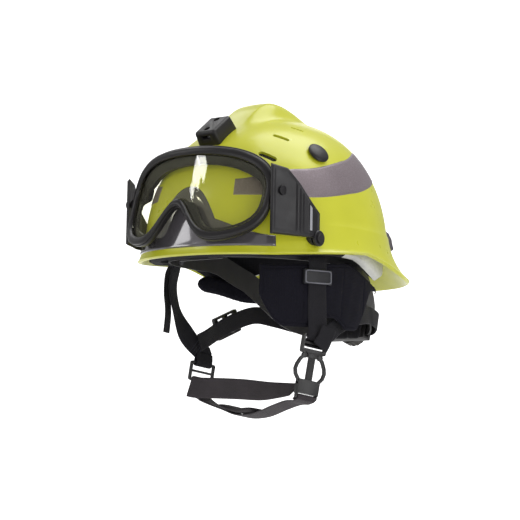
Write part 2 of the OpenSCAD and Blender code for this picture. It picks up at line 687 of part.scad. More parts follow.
// The right guard is folded up inside the brim, so only its fold shows.
fold_u = [for (k = [0 : 16]) 181 - 2.8 * k];
function fold_round(u) = 9 * (1 - sqrt(1 - pow(clamp01((u - 173) / 8.1), 2)));
module ear_guard_right() {
    function grid(off) = [for (u = fold_u) [for (k = [0 : 4])
        [(97 + off) * cos(u), (110 + off) * sin(u),
            mix(-27 + fold_round(u), -9 - fold_round(u), k / 4) - 8 * ease(175, 145, u)]]];
    color([0.1, 0.1, 0.12]) slab(grid(-6.5), grid(0));
}

// Keeper on the guard that the front strap runs through.
module guard_loop_left() {
    color([0.2, 0.2, 0.22]) translate([92.1, -43.5, -24]) rotate([0, 0, 71.6]) {
        translate([-15.5, -4.2, -7]) cube([31, 1.4, 14]);
        for (x = [-15.5, 13.5]) translate([x, -4, -7]) cube([2, 3.9, 14]);
    }
}

// ---------------------------------------------------------------- chin harness

ring_centre = [-88.2, -1.8, -109.5];
ring_turn = 73.5;
ring_tip = 8.8;
ring_long = 20;
ring_bar = 2.2;
ring_bar_z = (ring_long - ring_bar) / 2;
ring_out = [-sin(ring_turn), cos(ring_turn), 0];
ring_up = [sin(ring_tip) * cos(ring_turn), sin(ring_tip) * sin(ring_turn), cos(ring_tip)];
ring_across = cross(ring_out, ring_up);

// Fold of a strap round a bar of the ring, towards it from above at 1 or from below at -1.
function ring_fold(way) = [for (q = [[0.9, 10], [2.6, 4.4], [3, 0.8], [2.7, -1.9], [1.6, -2.8], [-1.6, -2.8],
    [-2.7, -1.9], [-3, 0.8], [-2.5, 4.4], [-1, 10]])
        ring_centre + q[0] * ring_out + way * (ring_bar_z + q[1]) * ring_up];

buckle_centre = [90.2, -47.8, -109];
buckle_turn = 66;
buckle_tip = 9.5;
buckle_in = [-sin(buckle_turn), cos(buckle_turn), 0];
buckle_up = [sin(buckle_tip) * cos(buckle_turn), sin(buckle_tip) * sin(buckle_turn), cos(buckle_tip)];
buckle_across = cross(buckle_in, buckle_up);
function in_buckle(x, q) = buckle_centre + x * buckle_across + q[0] * buckle_in + q[1] * buckle_up;

// Way of a strap through the tongue's two slots, and round the receiver's bar.
lock_weave = [[-3.8, 32], [-3.8, 28], [-2.4, 25.7], [2.4, 23.9], [3.6, 22.2], [3.6, 20.8],
    [2.4, 19.3], [-1.6, 18.2]];
bar_fold = [[8, -32.3], [5, -30.6], [2.9, -28.8], [0, -28.1], [-2.7, -29.1], [-3.3, -30.8],
    [-2.6, -32.4], [0, -33], [4, -33.6], [8, -34.3]];

left_across = [0.32, 0.95, 0];
right_across = [-0.32, 0.95, 0];
side_left_points = [[89.2, -40.5, 16], [89.3, -41, 4], [90, -41.6, -2], [93.2, -42.6, -9.5],
    [93.4, -43.2, -24], [93.4, -43, -50], [94, -43, -66]];
side_right_points = [[-89.2, -40.5, 16], [-89.3, -41, 3], [-90.6, -41, -6], [-96, -39.5, -26],
    [-95, -32, -53], [-93.4, -17, -75]];

module side_strap_left() {
    path = concat(curve(concat(side_left_points, [in_buckle(0, lock_weave[0])]), 4),
        [for (k = [1 : len(lock_weave) - 1]) in_buckle(0, lock_weave[k])]);
    last = len(path) - 1;
    color([0.1, 0.1, 0.14]) ribbon(path,
        [for (i = [0 : last]) mix(left_across, buckle_across, ease(0.4, 0.62, i / last))],
        web_width - 3, web_thick);
}
module side_strap_right() {
    path = concat(curve(concat(side_right_points, [ring_fold(1)[0]]), 3), [for (k = [1 : 9]) ring_fold(1)[k]]);
    last = len(path) - 1;
    color([0.1, 0.1, 0.12]) ribbon(path,
        [for (i = [0 : last]) mix(right_across, ring_across, ease(0.4, 0.65, i / last))],
        web_width - 4, web_thick);
}
module strap_tail_right() {
    path = curve([[-94.2, -44, -4], [-98.4, -44.5, -13], [-100, -44, -30], [-99.5, -42, -50], [-100.5, -43, -71]], 3);
    color([0.1, 0.1, 0.12]) ribbon(path, [for (p = path) right_across], web_width - 9, web_thick);
}
module strap_tail_left() {
    path = curve([[99.4, -45.3, -91], [100.2, -41, -85], [101.4, -38.4, -79], [102.8, -36, -72]], 3);
    color([0.1, 0.1, 0.12]) ribbon(path, [for (p = path) left_across], web_width - 6, web_thick);
}

nape_end = [nape_x + 22, band_rear + 6.8, nape_z - 1.7];   // on the adjuster's outer face

nape_lean = tan(nape_tilt);

module rear_strap_left() {
    path = curve([[88.6, -34, -84], [89, -18, -76], [88.2, -2, -66.5], [86, 24, -57.5], [81.8, 46, -53.5],
        [75, 64, -52.5], [71.6, 76, -53.5], [62, 96, -56], nape_end + [10, 0, 0.4], nape_end], 3);
    color([0.1, 0.1, 0.12]) ribbon(path, [for (p = path) [0, mix(-0.25, nape_lean, ease(60, 110, p.y)), 1]], web_width - 5, web_thick);
}
module rear_strap_right() {
    start = [nape_x, nape_end.y, nape_end.z];
    path = curve([[-84.6, -10, -79.5], [-85.6, 3, -74.4], [-89.6, 21, -67], [-90, 45.6, -56], [-84, 75, -46],
        [-72, 96, -49], [-48, 110, -56], start - [32, 0, -0.4], start - [22, 0, 0]], 3);
    color([0.1, 0.1, 0.12]) ribbon(path, [for (p = path) [0, mix(-0.25, nape_lean, ease(60, 110, p.y)), 1]], web_width - 5, web_thick);
}

// Anchors let into the liner's inner face: a plate with an ear on each side of the strap.
anchor_x = 91.2;
anchor_y = -40.5;
anchor_wide = 26;
anchor_turn = 18.6;
module at_anchor() { translate([anchor_x, anchor_y, 12]) rotate([0, 0, -anchor_turn]) children(); }
module anchor() {
    at_anchor() {
        cube([1.4, anchor_wide, 16], center = true);
        for (y = [-1, 1]) translate([-1.4, y * (anchor_wide / 2 - 0.6), 0])
            cube([1.6, 1.2, 16], center = true);
    }
}
module strap_anchor_left() { color([0.12, 0.12, 0.12]) anchor(); }
module strap_anchor_right() { color([0.12, 0.12, 0.12]) mirror([1, 0, 0]) anchor(); }

// Flat slider with two slots between three bars, in its own frame: +X along the strap, +Y across.
module slider(long, wide, thick, bar) {
    slot = (long - 3 * bar) / 2;
    difference() {
        hull() for (x = [-1, 1]) for (y = [-1, 1])
            translate([x * (long / 2 - 2), y * (wide / 2 - 2), -thick / 2])
                cylinder(h = thick, r = 2, $fn = 24);
        for (x = [-1, 1]) translate([x * (slot + bar) / 2, 0, 0])
            cube([slot, wide - 5, thick + 2], center = true);
    }
}

module strap_slider_right() {
    color([0.11, 0.11, 0.11]) translate([-93.6, 42, -57.8]) rotate([0, -22, 87]) rotate([90, 0, 0])
        slider(36, 24, 4, 5.3);
}
// Ring frame: +X along its bars, +Y outwards and +Z up. The chin strap hangs on the lower bar.
module at_ring() { translate(ring_centre) rotate([0, 0, ring_turn]) rotate([0, ring_tip, 0]) children(); }
module chin_ring_right() {
    color([0.11, 0.11, 0.11]) at_ring() {
        rotate([0, -90, -90]) slider(ring_long, 29, 3, ring_bar);
        translate([0, 0, -(ring_long - ring_bar) / 2]) rotate([0, 90, 0])
            cylinder(h = 25, r = 1.5, center = true, $fn = 48);
    }
}

// Buckle frame: +Z up along its strap, +X across it and +Y towards the wearer.
module at_buckle() {
    translate(buckle_centre) rotate([0, 0, buckle_turn]) rotate([0, buckle_tip, 0]) children();
}

module buckle_tongue() {
    color([0.11, 0.11, 0.11]) at_buckle() difference() {
        union() {
            hull() for (x = [-11, 11]) for (z = [14, 28])
                translate([x, 2.5, z]) rotate([90, 0, 0]) cylinder(h = 5, r = 2, $fn = 24);
            translate([-10.5, -2.2, 8]) cube([21, 4.4, 6]);
            translate([-3.2, -1.7, -17]) cube([6.4, 3.4, 27]);
        }
        for (z = [16.1, 22.7]) translate([-10.8, -5, z]) cube([21.6, 10, 4.4]);
        for (x = [-1, 1]) translate([x * 8.2, 5, 9.6]) rotate([90, 0, 0])
            cylinder(h = 10, r = 3.1, $fn = 32);
    }
}

// Bowed side arm that turns on a knuckle of the tongue.
module prong(side) {
    bow = [[8.2, 9.6], [11.6, 6], [14.6, 0], [15.6, -4.5], [14.4, -9.5], [11, -13.8], [8, -17], [7.4, -22]];
    color([0.11, 0.11, 0.11]) at_buckle() rotate([90, 0, 0]) translate([0, 0, -1.7])
        linear_extrude(3.4) scale([side, 1]) union() {
            translate(bow[0]) circle(r = 2.8, $fn = 32);
            for (i = [0 : len(bow) - 2]) hull() {
                translate(bow[i]) circle(r = 1.5, $fn = 16);
                translate(bow[i + 1]) circle(r = 1.5, $fn = 16);
            }
        }
}
module buckle_prong_front() { prong(-1); }
module buckle_prong_rear() { prong(1); }

module buckle_receiver() {
    color([0.11, 0.11, 0.11]) at_buckle() difference() {
        union() {
            hull() for (x = [-9.6, 9.6]) for (z = [-26, -15]) translate([x, 3.6, z])
                rotate([90, 0, 0]) cylinder(h = 7.2, r = 1.6, $fn = 24);
            hull() for (x = [-9.6, 9.6]) for (z = [-30, -26]) translate([x, 2, z])
                rotate([90, 0, 0]) cylinder(h = 4, r = 1.6, $fn = 24);
        }
        translate([-9.9, -2.9, -24.5]) cube([19.8, 5.8, 14]);
        translate([-15, -2.4, -18.4]) cube([30, 4.8, 8]);
        translate([-9.8, -5, -29.8]) cube([19.6, 10, 3.2]);
    }
}

chin_main_points = [[-86, -2, -134.5], [-75, 0, -141.5], [-52, -1.4, -148.2],
    [-25, -8, -154.4], [8, -20, -153.5], [46, -38.5, -147], [68, -46, -143]];
chin_tail_points = [[-78, -31, -125], [-70, -30, -126.4], [-45, -29.7, -127.2], [-8, -34.4, -128.8],
    [30, -41.3, -131.4], [60, -50, -131.4], [76, -53, -130.6]];

module chin_strap() {
    fold = ring_fold(-1);
    bar = [for (q = bar_fold) in_buckle(0, q)];
    turns = len(bar) - 1;
    path = concat([for (k = [9 : -1 : 1]) fold[k]],
        curve(concat([fold[0]], chin_main_points, [bar[turns]]), 4), [for (k = [turns - 1 : -1 : 0]) bar[k]]);
    last = len(path) - 1;
    color([0.14, 0.13, 0.14]) ribbon(path,
        [for (i = [0 : last]) mix(ring_across, buckle_across, ease(0.2, 0.7, i / last))],
        web_width - 4, web_thick);
}
module chin_strap_tail() {
    path = curve(chin_tail_points, 4);
    last = len(path) - 1;
    color([0.13, 0.11, 0.14]) ribbon(path,
        [for (i = [0 : last]) mix([0, 0.12, 1], [0.1, 0.8, 0.6], pow(i / last, 2))],
        web_width - 2, web_thick);
}
module chin_pad() {
    path = curve([for (i = [2 : 4]) chin_main_points[i] + [0, 0, 4.2]], 3);
    color([0.15, 0.14, 0.15]) ribbon(path, [for (p = path) mix(ring_across, buckle_across, 0.4)], web_width + 6, 4);
}

// ---------------------------------------------------------------- nodes

outer_shell();
impact_liner();
reflective_tape_left();
reflective_tape_right();
peak_plate();
lamp_bracket();
lamp_bracket_screws();
crown_bolt_left();
crown_bolt_right();
vent_screen_left();
vent_screen_right();
rear_clip_left();
rear_clip_right();
goggle_clip_left();
goggle_clip_right();
goggle_frame();
goggle_bezel();
goggle_lens();
goggle_foam();
goggle_hinge_left();
goggle_hinge_right();
outrigger_left();
outrigger_right();
brow_band();
brow_pad();
band_left();
band_right();
nape_pad();
ratchet_housing();
ratchet_knob();
crown_strap_long();
crown_strap_cross();
crown_pad();
strap_anchor_left();
strap_anchor_right();
ear_guard_left();
ear_guard_right();
guard_loop_left();
side_strap_left();
side_strap_right();
rear_strap_left();
rear_strap_right();
strap_tail_left();
strap_tail_right();
strap_slider_right();
chin_ring_right();
buckle_tongue();
buckle_prong_front();
buckle_prong_rear();
buckle_receiver();
chin_strap();
chin_strap_tail();
chin_pad();
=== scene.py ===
import json
import math

import bmesh
import bpy
import numpy as np
from mathutils import Matrix, Vector


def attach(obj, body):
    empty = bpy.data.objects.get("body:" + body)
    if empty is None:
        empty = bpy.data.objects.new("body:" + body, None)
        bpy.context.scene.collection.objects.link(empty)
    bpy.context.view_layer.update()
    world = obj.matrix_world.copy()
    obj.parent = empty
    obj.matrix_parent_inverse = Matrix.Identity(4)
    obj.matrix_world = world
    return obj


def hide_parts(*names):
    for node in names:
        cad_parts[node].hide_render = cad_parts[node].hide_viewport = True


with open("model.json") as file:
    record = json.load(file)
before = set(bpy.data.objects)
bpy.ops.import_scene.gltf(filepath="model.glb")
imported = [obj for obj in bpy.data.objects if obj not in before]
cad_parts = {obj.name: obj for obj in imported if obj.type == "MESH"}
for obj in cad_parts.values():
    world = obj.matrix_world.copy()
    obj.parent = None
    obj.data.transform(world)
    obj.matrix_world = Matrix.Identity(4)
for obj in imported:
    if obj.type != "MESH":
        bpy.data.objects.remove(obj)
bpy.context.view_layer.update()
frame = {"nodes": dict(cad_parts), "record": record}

MM = 0.001                      # shapes are worked out in millimetres, as in the design, and stored in metres

# ---------------------------------------------------------------- camera, lights and floor

CAMERA_TURN, CAMERA_RISE, CAMERA_ROLL = (math.radians(a) for a in (40, -6, -1))
CAMERA_DISTANCE = 1.9
FRAMING = (0.011, -0.0013)      # how far the origin sits right of and above the middle of the view


def placed(name, data):
    """Scene object that holds this mesh, lamp or camera."""
    obj = bpy.data.objects.new(name, data)
    bpy.context.scene.collection.objects.link(obj)
    return obj


def view_axes(turn, rise):
    """Back, right and up of a view that looks along +Y at turn 0."""
    back = Vector((math.sin(turn) * math.cos(rise), -math.cos(turn) * math.cos(rise), math.sin(rise)))
    right = Vector((math.cos(turn), math.sin(turn), 0))
    return back, right, back.cross(right)


def add_camera():
    back, right, up = view_axes(CAMERA_TURN, CAMERA_RISE)
    data = bpy.data.cameras.new("camera")
    data.sensor_width = 36
    data.lens = 131.5
    data.clip_end = 30
    camera = placed("camera", data)
    place = back * CAMERA_DISTANCE - right * FRAMING[0] - up * FRAMING[1]
    c, s = math.cos(-CAMERA_ROLL), math.sin(-CAMERA_ROLL)
    turned = Matrix((right * c + up * s, up * c - right * s, back)).transposed().to_4x4()
    camera.matrix_world = Matrix.Translation(place) @ turned
    bpy.context.scene.camera = camera
    return place


def add_light(name, place, target, size, watts, tint=(1, 1, 1)):
    data = bpy.data.lights.new(name, "AREA")
    data.shape = "RECTANGLE"
    data.size, data.size_y = size
    data.energy = watts
    data.color = tint
    light = placed(name, data)
    direction = Vector(target) - Vector(place)
    light.matrix_world = Matrix.Translation(place) @ direction.to_track_quat("-Z", "Y").to_matrix().to_4x4()
    return light


def add_world(colour, strength):
    world = bpy.data.worlds.new("studio")
    world.use_nodes = True
    world.node_tree.nodes["Background"].inputs["Color"].default_value = (*colour, 1)
    world.node_tree.nodes["Background"].inputs["Strength"].default_value = strength
    bpy.context.scene.world = world


camera_place = add_camera()
bpy.context.scene.view_settings.view_transform = "Standard"
add_world((1, 1, 1), 0.38)

# ---------------------------------------------------------------- maths on arrays


def unit(v):
    return v / np.maximum(np.linalg.norm(v, axis=-1, keepdims=True), 1e-9)


def mix(a, b, t):
    return a + (b - a) * t


def ease(low, high, v):
    t = np.clip((np.asarray(v, float) - low) / (high - low), 0, 1)
    return t * t * (3 - 2 * t)


def signed_pow(v, e):
    return np.sign(v) * np.abs(v) ** e


def sin(a):
    return np.sin(np.radians(a))


def cos(a):
    return np.cos(np.radians(a))


def circle(count):
    return np.linspace(0, 360, count, endpoint=False)


def bell(v, wide):
    return np.exp(-(v / wide) ** 2)


def stack(*parts):
    return np.stack(np.broadcast_arrays(*parts), -1)


def interp_path(at, along, path):
    return stack(*(np.interp(at, along, path[:, k]) for k in range(3)))


def curve(points, steps):
    """Catmull-Rom curve through given points."""
    p = np.asarray(points, float)
    p = np.concatenate([p[:1], p, p[-1:]])
    t = np.arange(steps)[:, None] / steps
    runs = []
    for a, b, c, d in zip(p[:-3], p[1:-2], p[2:-1], p[3:]):
        runs.append(0.5 * (2 * b + (c - a) * t + (2 * a - 5 * b + 4 * c - d) * t ** 2
                           + (3 * b - a - 3 * c + d) * t ** 3))
    return np.concatenate(runs + [p[-1:]])


def resampled(path, step):
    """The same path with points an even step apart, and the length along it."""
    path = np.asarray(path, float)
    along = np.concatenate([[0], np.cumsum(np.linalg.norm(np.diff(path, axis=0), axis=1))])
    s = np.linspace(0, along[-1], max(2, int(round(along[-1] / step)) + 1))
    return interp_path(s, along, path), s


def path_axes(path, s, across):
    """Axes along, across and off the face of a strip on a path; across may be a function of the share of the way."""
    if callable(across):
        across = np.array([across(t) for t in s / s[-1]])
    along = unit(np.gradient(path, axis=0))
    side = unit(across - (across * along).sum(-1, keepdims=True) * along)
    return along, side, np.cross(along, side)


# ---------------------------------------------------------------- materials


class Nodes:
    """Short hand for building one material's node tree."""

    def __init__(self, name):
        self.mat = bpy.data.materials.new(name)
        self.mat.use_nodes = True
        self.tree = self.mat.node_tree
        self.shader = self.tree.nodes["Principled BSDF"]
        self.coords = self.tree.nodes.new("ShaderNodeTexCoord")
        self.heights = []

    def link(self, source, target):
        self.tree.links.new(source, target)

    def node(self, kind, inputs=None, **settings):
        made = self.tree.nodes.new("ShaderNode" + kind)
        for key, value in settings.items():
            setattr(made, key, value)
        for key, value in (inputs or {}).items():
            if isinstance(value, bpy.types.NodeSocket):
                self.link(value, made.inputs[key])
            else:
                made.inputs[key].default_value = value
        return made

    def noise(self, per_metre, detail=3.0, rough=0.55, stretch=None, where="Object"):
        vector = self.coords.outputs[where]
        if stretch:
            vector = self.node("Mapping", {"Vector": vector, "Scale": stretch}).outputs[0]
        return self.node("TexNoise", {"Vector": vector, "Scale": per_metre, "Detail": detail,
                                      "Roughness": rough}).outputs["Fac"]

    def math(self, kind, a, b=0.5):
        return self.node("Math", {0: a, 1: b}, operation=kind).outputs[0]

    def ramp(self, value, low, high, to_low=0.0, to_high=1.0):
        return self.node("MapRange", {"Value": value, "From Min": low, "From Max": high, "To Min": to_low,
                                      "To Max": to_high}).outputs[0]

    def mix_colour(self, fac, a, b):
        made = self.node("Mix", data_type="RGBA")
        for socket, value in ((made.inputs[0], fac), (made.inputs[6], a), (made.inputs[7], b)):
            if isinstance(value, bpy.types.NodeSocket):
                self.link(value, socket)
            elif socket is made.inputs[0]:
                socket.default_value = value
            else:
                socket.default_value = (*value[:3], 1)
        return made.outputs[2]

    def mottled(self, per_metre, detail, dark, light, top=0.7):
        """A slow drift between two colours."""
        return self.mix_colour(self.ramp(self.noise(per_metre, detail), 0.3, top), dark, light)

    def pale_edges(self):
        """Near 1 on sharp outer edges."""
        geometry = self.node("NewGeometry")
        return self.ramp(geometry.outputs["Pointiness"], 0.53, 0.6)

    def bump(self, height, depth, strength=1.0):
        """Adds a relief of that depth in metres."""
        self.heights.append((height, depth, strength))

    def done(self, colour, rough, **inputs):
        """Sets the shader's inputs, stacks the reliefs and gives the material."""
        for key, value in {"Base Color": colour, "Roughness": rough, **inputs}.items():
            socket = self.shader.inputs[key]
            if isinstance(value, bpy.types.NodeSocket):
                self.link(value, socket)
            elif key.endswith("Color") or key.endswith("Tint"):
                socket.default_value = (*value[:3], 1)
            else:
                socket.default_value = value
        normal = None
        for height, depth, strength in self.heights:
            bump = self.node("Bump", {"Height": height, "Distance": depth, "Strength": strength})
            if normal:
                self.link(normal, bump.inputs["Normal"])
            normal = bump.outputs[0]
        if normal:
            self.link(normal, self.shader.inputs["Normal"])
        return self.mat


def scaled(colour, k):
    return tuple(c * k for c in colour)


def plastic(name, colour, rough=0.42, grain=0.00003, grain_size=2600, coat=0.0, pale_edges=0.25):
    """Moulded plastic: fine spark-eroded grain, slow mottling, paler rubbed edges."""
    n = Nodes(name)
    base = n.mottled(28, 2, scaled(colour, 0.85), scaled(colour, 1.18))
    rubbed = n.math("MULTIPLY", n.pale_edges(), pale_edges)
    base = n.mix_colour(rubbed, base, [min(1, c * 3 + 0.06) for c in colour])
    n.bump(n.noise(grain_size, 2, 0.6), grain)
    roughness = n.ramp(n.noise(60, 3), 0.25, 0.75, rough - 0.06, rough + 0.08)
    return n.done(base, roughness, **{"Coat Weight": coat, "Coat Roughness": 0.12})


def cloth(name, colour, per_metre=1150, sheen=0.25, rough=0.86, depth=0.00022):
    """Plain-woven cloth from two crossed threads in the object's own space, with lint and fading."""
    n = Nodes(name)
    threads = []
    for direction in ("X", "Z"):
        threads.append(n.node("TexWave", {"Vector": n.coords.outputs["Object"], "Scale": per_metre / 6.283,
                                          "Distortion": 0.6, "Detail": 1.0, "Detail Scale": 4.0},
                              wave_type="BANDS", bands_direction=direction).outputs["Fac"])
    weave = n.math("MAXIMUM", threads[0], threads[1])
    base = n.mottled(22, 3, scaled(colour, 0.75), scaled(colour, 1.35), 0.72)
    # The raised threads are painted paler than the gaps between them: painted highlight on the crowns and painted
    # shade between the threads.
    base = n.mix_colour(n.math("MULTIPLY", weave, 0.35), base, scaled(colour, 2.0))
    lint = n.ramp(n.noise(900, 2, 0.7), 0.7, 0.78, 0, 0.35)
    base = n.mix_colour(lint, base, [min(1, c * 2.2 + 0.03) for c in colour])
    n.bump(weave, depth)
    n.bump(n.noise(130, 3), 0.0005, 0.6)
    return n.done(base, rough, **{"Specular IOR Level": 0.25, "Sheen Weight": sheen, "Sheen Roughness": 0.45,
                                  "Sheen Tint": [min(1, c * 4 + 0.2) for c in colour]})


def webbing(name, colour, rough=0.72):
    """Woven band. Its map has millimetres along the band in x and across it in y."""
    n = Nodes(name)
    split = n.node("SeparateXYZ", {0: n.coords.outputs["UV"]})
    along, across = split.outputs[0], split.outputs[1]
    folded = n.math("ABSOLUTE", n.math("SUBTRACT", n.math("FRACT", n.math("MULTIPLY", across, 0.18)), 0.5))
    slant = n.math("ADD", n.math("MULTIPLY", along, 5.2), n.math("MULTIPLY", folded, 14))
    twill = n.math("ADD", n.math("MULTIPLY", n.math("SINE", slant), 0.5), 0.5)
    ends = n.math("ADD", n.math("MULTIPLY", n.math("SINE", n.math("MULTIPLY", across, 8.4)), 0.5), 0.5)
    weave = n.math("ADD", n.math("MULTIPLY", twill, 0.6), n.math("MULTIPLY", ends, 0.4))
    base = n.mottled(35, 3, scaled(colour, 0.7), scaled(colour, 1.3))
    # The raised threads are painted paler than the hollows between them: painted highlight on the crowns and painted
    # shade between the threads.
    base = n.mix_colour(n.math("MULTIPLY", weave, 0.55), base, scaled(colour, 2.3))
    fuzz = n.ramp(n.noise(1400, 2, 0.7), 0.66, 0.76, 0, 0.3)
    base = n.mix_colour(fuzz, base, [min(1, c * 2.5 + 0.04) for c in colour])
    n.bump(weave, 0.00028)
    return n.done(base, n.ramp(weave, 0, 1, rough + 0.12, rough - 0.1),
                  **{"Specular IOR Level": 0.3, "Sheen Weight": 0.05, "Sheen Roughness": 0.5})


def shell_paint(name):
    """Semi-gloss fluorescent paint over a moulded shell: slight orange peel, scuffs and dust, and a faint painted glow
    standing in for the fluorescence.
    """
    n = Nodes(name)
    base = n.mottled(9, 3, (0.57, 0.585, 0.026), (0.68, 0.69, 0.040))
    scuffs = n.ramp(n.noise(55, 6, 0.75, stretch=(1, 1, 3.5)), 0.63, 0.72, 0, 0.22)
    base = n.mix_colour(scuffs, base, (0.45, 0.49, 0.10))
    # Sharp edges, the rim most of all, are mixed towards pale yellow: partly edge wear, partly a painted highlight of
    # the rim's bright edge.
    base = n.mix_colour(n.math("MULTIPLY", n.pale_edges(), 0.25), base, (0.86, 0.92, 0.35))
    n.bump(n.noise(240, 2), 0.00012, 0.35)
    n.bump(n.noise(1700, 2), 0.00002, 0.5)
    rough = n.ramp(n.noise(45, 4), 0.3, 0.75, 0.27, 0.42)
    # The emission is a painted glow: a faint light in the paint's own colour, standing in for its fluorescence, that
    # shows whatever the lamps do.
    return n.done(base, rough, **{"Coat Weight": 0.2, "Coat Roughness": 0.16, "Subsurface Weight": 0.06,
                                  "Subsurface Radius": (0.004, 0.004, 0.001),
                                  "Emission Color": (0.62, 0.63, 0.03), "Emission Strength": 0.05})


def tape_film(name):
    """Retroreflective film: fine cells under a satin face."""
    n = Nodes(name)
    cells = n.node("TexVoronoi", {"Vector": n.coords.outputs["Object"], "Scale": 420},
                   feature="DISTANCE_TO_EDGE").outputs["Distance"]
    edge = n.ramp(cells, 0.02, 0.09)
    base = n.mottled(16, 3, (0.215, 0.172, 0.19), (0.275, 0.225, 0.245))
    base = n.mix_colour(n.ramp(edge, 0, 1, 0.45, 0), base, (0.33, 0.29, 0.31))
    n.bump(edge, 0.00004)
    return n.done(base, n.ramp(n.noise(70, 3), 0.3, 0.7, 0.38, 0.5), **{"Metallic": 0.35, "Coat Weight": 0.3,
                                                                       "Coat Roughness": 0.25})


def gloss_plate(name):
    n = Nodes(name)
    base = n.mottled(14, 2, (0.10, 0.094, 0.104), (0.15, 0.14, 0.155))
    scratch = n.ramp(n.noise(320, 4, 0.8, stretch=(1, 1, 14)), 0.68, 0.74, 0, 0.35)
    base = n.mix_colour(scratch, base, (0.24, 0.23, 0.24))
    n.bump(n.noise(90, 2), 0.0001, 0.3)
    return n.done(base, n.ramp(scratch, 0, 0.35, 0.12, 0.3), **{"Coat Weight": 1.0, "Coat Roughness": 0.05,
                                                               "Metallic": 0.25})


def lens_glass(name):
    """Clear hard-coated sheet: light tint, a faint even mirror and wiping marks."""
    n = Nodes(name)
    n.tree.nodes.remove(n.shader)
    marks = n.ramp(n.noise(70, 5, 0.7, stretch=(1, 1, 5)), 0.5, 0.8, 0.01, 0.06)
    haze = n.ramp(n.noise(9, 2), 0.3, 0.7, 0.02, 0.03)
    clear = n.node("BsdfTransparent", {"Color": (0.95, 0.95, 0.86, 1)})
    mirror = n.node("BsdfGlossy", {"Color": (1, 1, 1, 1), "Roughness": marks})
    both = n.node("MixShader", {"Fac": haze})
    n.link(clear.outputs[0], both.inputs[1])
    n.link(mirror.outputs[0], both.inputs[2])
    n.link(both.outputs[0], n.tree.nodes["Material Output"].inputs["Surface"])
    return n.mat


def foam(name, colour, size=700, depth=0.0006, rough=0.9):
    n = Nodes(name)
    cells = n.node("TexVoronoi", {"Vector": n.coords.outputs["Object"], "Scale": size}).outputs["Distance"]
    base = n.mottled(30, 3, scaled(colour, 0.88), scaled(colour, 1.08))
    # The cell pits are painted darker, as painted shade in the hollows.
    base = n.mix_colour(n.ramp(cells, 0, 0.9, 0.25, 0), base, scaled(colour, 0.6))
    n.bump(cells, depth)
    return n.done(base, rough)


def steel(name):
    n = Nodes(name)
    streaks = n.noise(900, 3, 0.6, stretch=(1, 8, 1))
    n.bump(streaks, 0.00003)
    base = n.mottled(60, 2, (0.48, 0.48, 0.49), (0.62, 0.62, 0.63))
    return n.done(base, n.ramp(streaks, 0.3, 0.7, 0.25, 0.42), Metallic=1.0)


def mesh_screen(name):
    """Moulded fly screen: a square grid of small holes shown as pits of painted shade."""
    n = Nodes(name)
    split = n.node("SeparateXYZ", {0: n.coords.outputs["Object"]})
    lines = []
    for k in (0, 1):
        wave = n.math("SINE", n.math("MULTIPLY", split.outputs[k], 3600))
        lines.append(n.ramp(wave, 0.1, 0.5))
    bars = n.math("MAXIMUM", lines[0], lines[1])
    # The holes between the bars are painted near-black as painted shade.
    base = n.mix_colour(bars, (0.004, 0.004, 0.004), (0.07, 0.07, 0.07))
    n.bump(bars, 0.0005)
    return n.done(base, 0.6)


RECIPES = {
    "shell_paint": (shell_paint,),
    "liner_foam": (foam, (0.74, 0.74, 0.69), 380, 0.0003, 0.82),
    "reflective_tape": (tape_film,),
    "peak_gloss": (gloss_plate,),
    "trim_plastic": (plastic, (0.011, 0.0095, 0.010), 0.42, 0.00005, 1800),
    "screw_steel": (steel,),
    "vent_mesh": (mesh_screen,),
    "clip_plastic": (plastic, (0.06, 0.052, 0.066), 0.45),
    "goggle_rubber": (plastic, (0.009, 0.0075, 0.0085), 0.36, 0.00004, 1600, 0.0, 0.12),
    "lens_clear": (lens_glass,),
    "face_foam": (foam, (0.03, 0.029, 0.03)),
    "arm_plastic": (plastic, (0.0085, 0.0072, 0.0095), 0.42, 0.00003, 2200, 0.0, 0.15),
    "blank_label": (plastic, (0.42, 0.42, 0.46), 0.35, 0.00002, 2600, 0.3, 0.1),
    "band_plastic": (plastic, (0.022, 0.021, 0.022), 0.46),
    "knob_plastic": (plastic, (0.032, 0.029, 0.025), 0.5, 0.00016, 900),
    "pad_fabric": (cloth, (0.012, 0.0115, 0.014), 1150, 0.12),
    "webbing": (webbing, (0.0085, 0.0078, 0.0108)),
    "guard_fabric": (cloth, (0.0042, 0.0038, 0.0085), 1500, 0.05),
    "guard_loop": (plastic, (0.006, 0.006, 0.009), 0.5),
    "guard_piping": (plastic, (0.16, 0.16, 0.19), 0.4),
    "buckle_plastic": (plastic, (0.014, 0.013, 0.014), 0.36),
    "chin_webbing": (webbing, (0.036, 0.030, 0.034), 0.66),
    "chin_padding": (cloth, (0.028, 0.024, 0.026)),
    "thread": (cloth, (0.035, 0.035, 0.045), 2600),
}
MATERIALS = {name: maker(name, *settings) for name, (maker, *settings) in RECIPES.items()}
SLOT_OF = {s["node"]: s["material_slot"] for s in frame["record"]["subparts"]}
BODY_OF = {n: b for b, nodes in frame["record"]["behaviour"]["bodies"].items() for n in nodes}


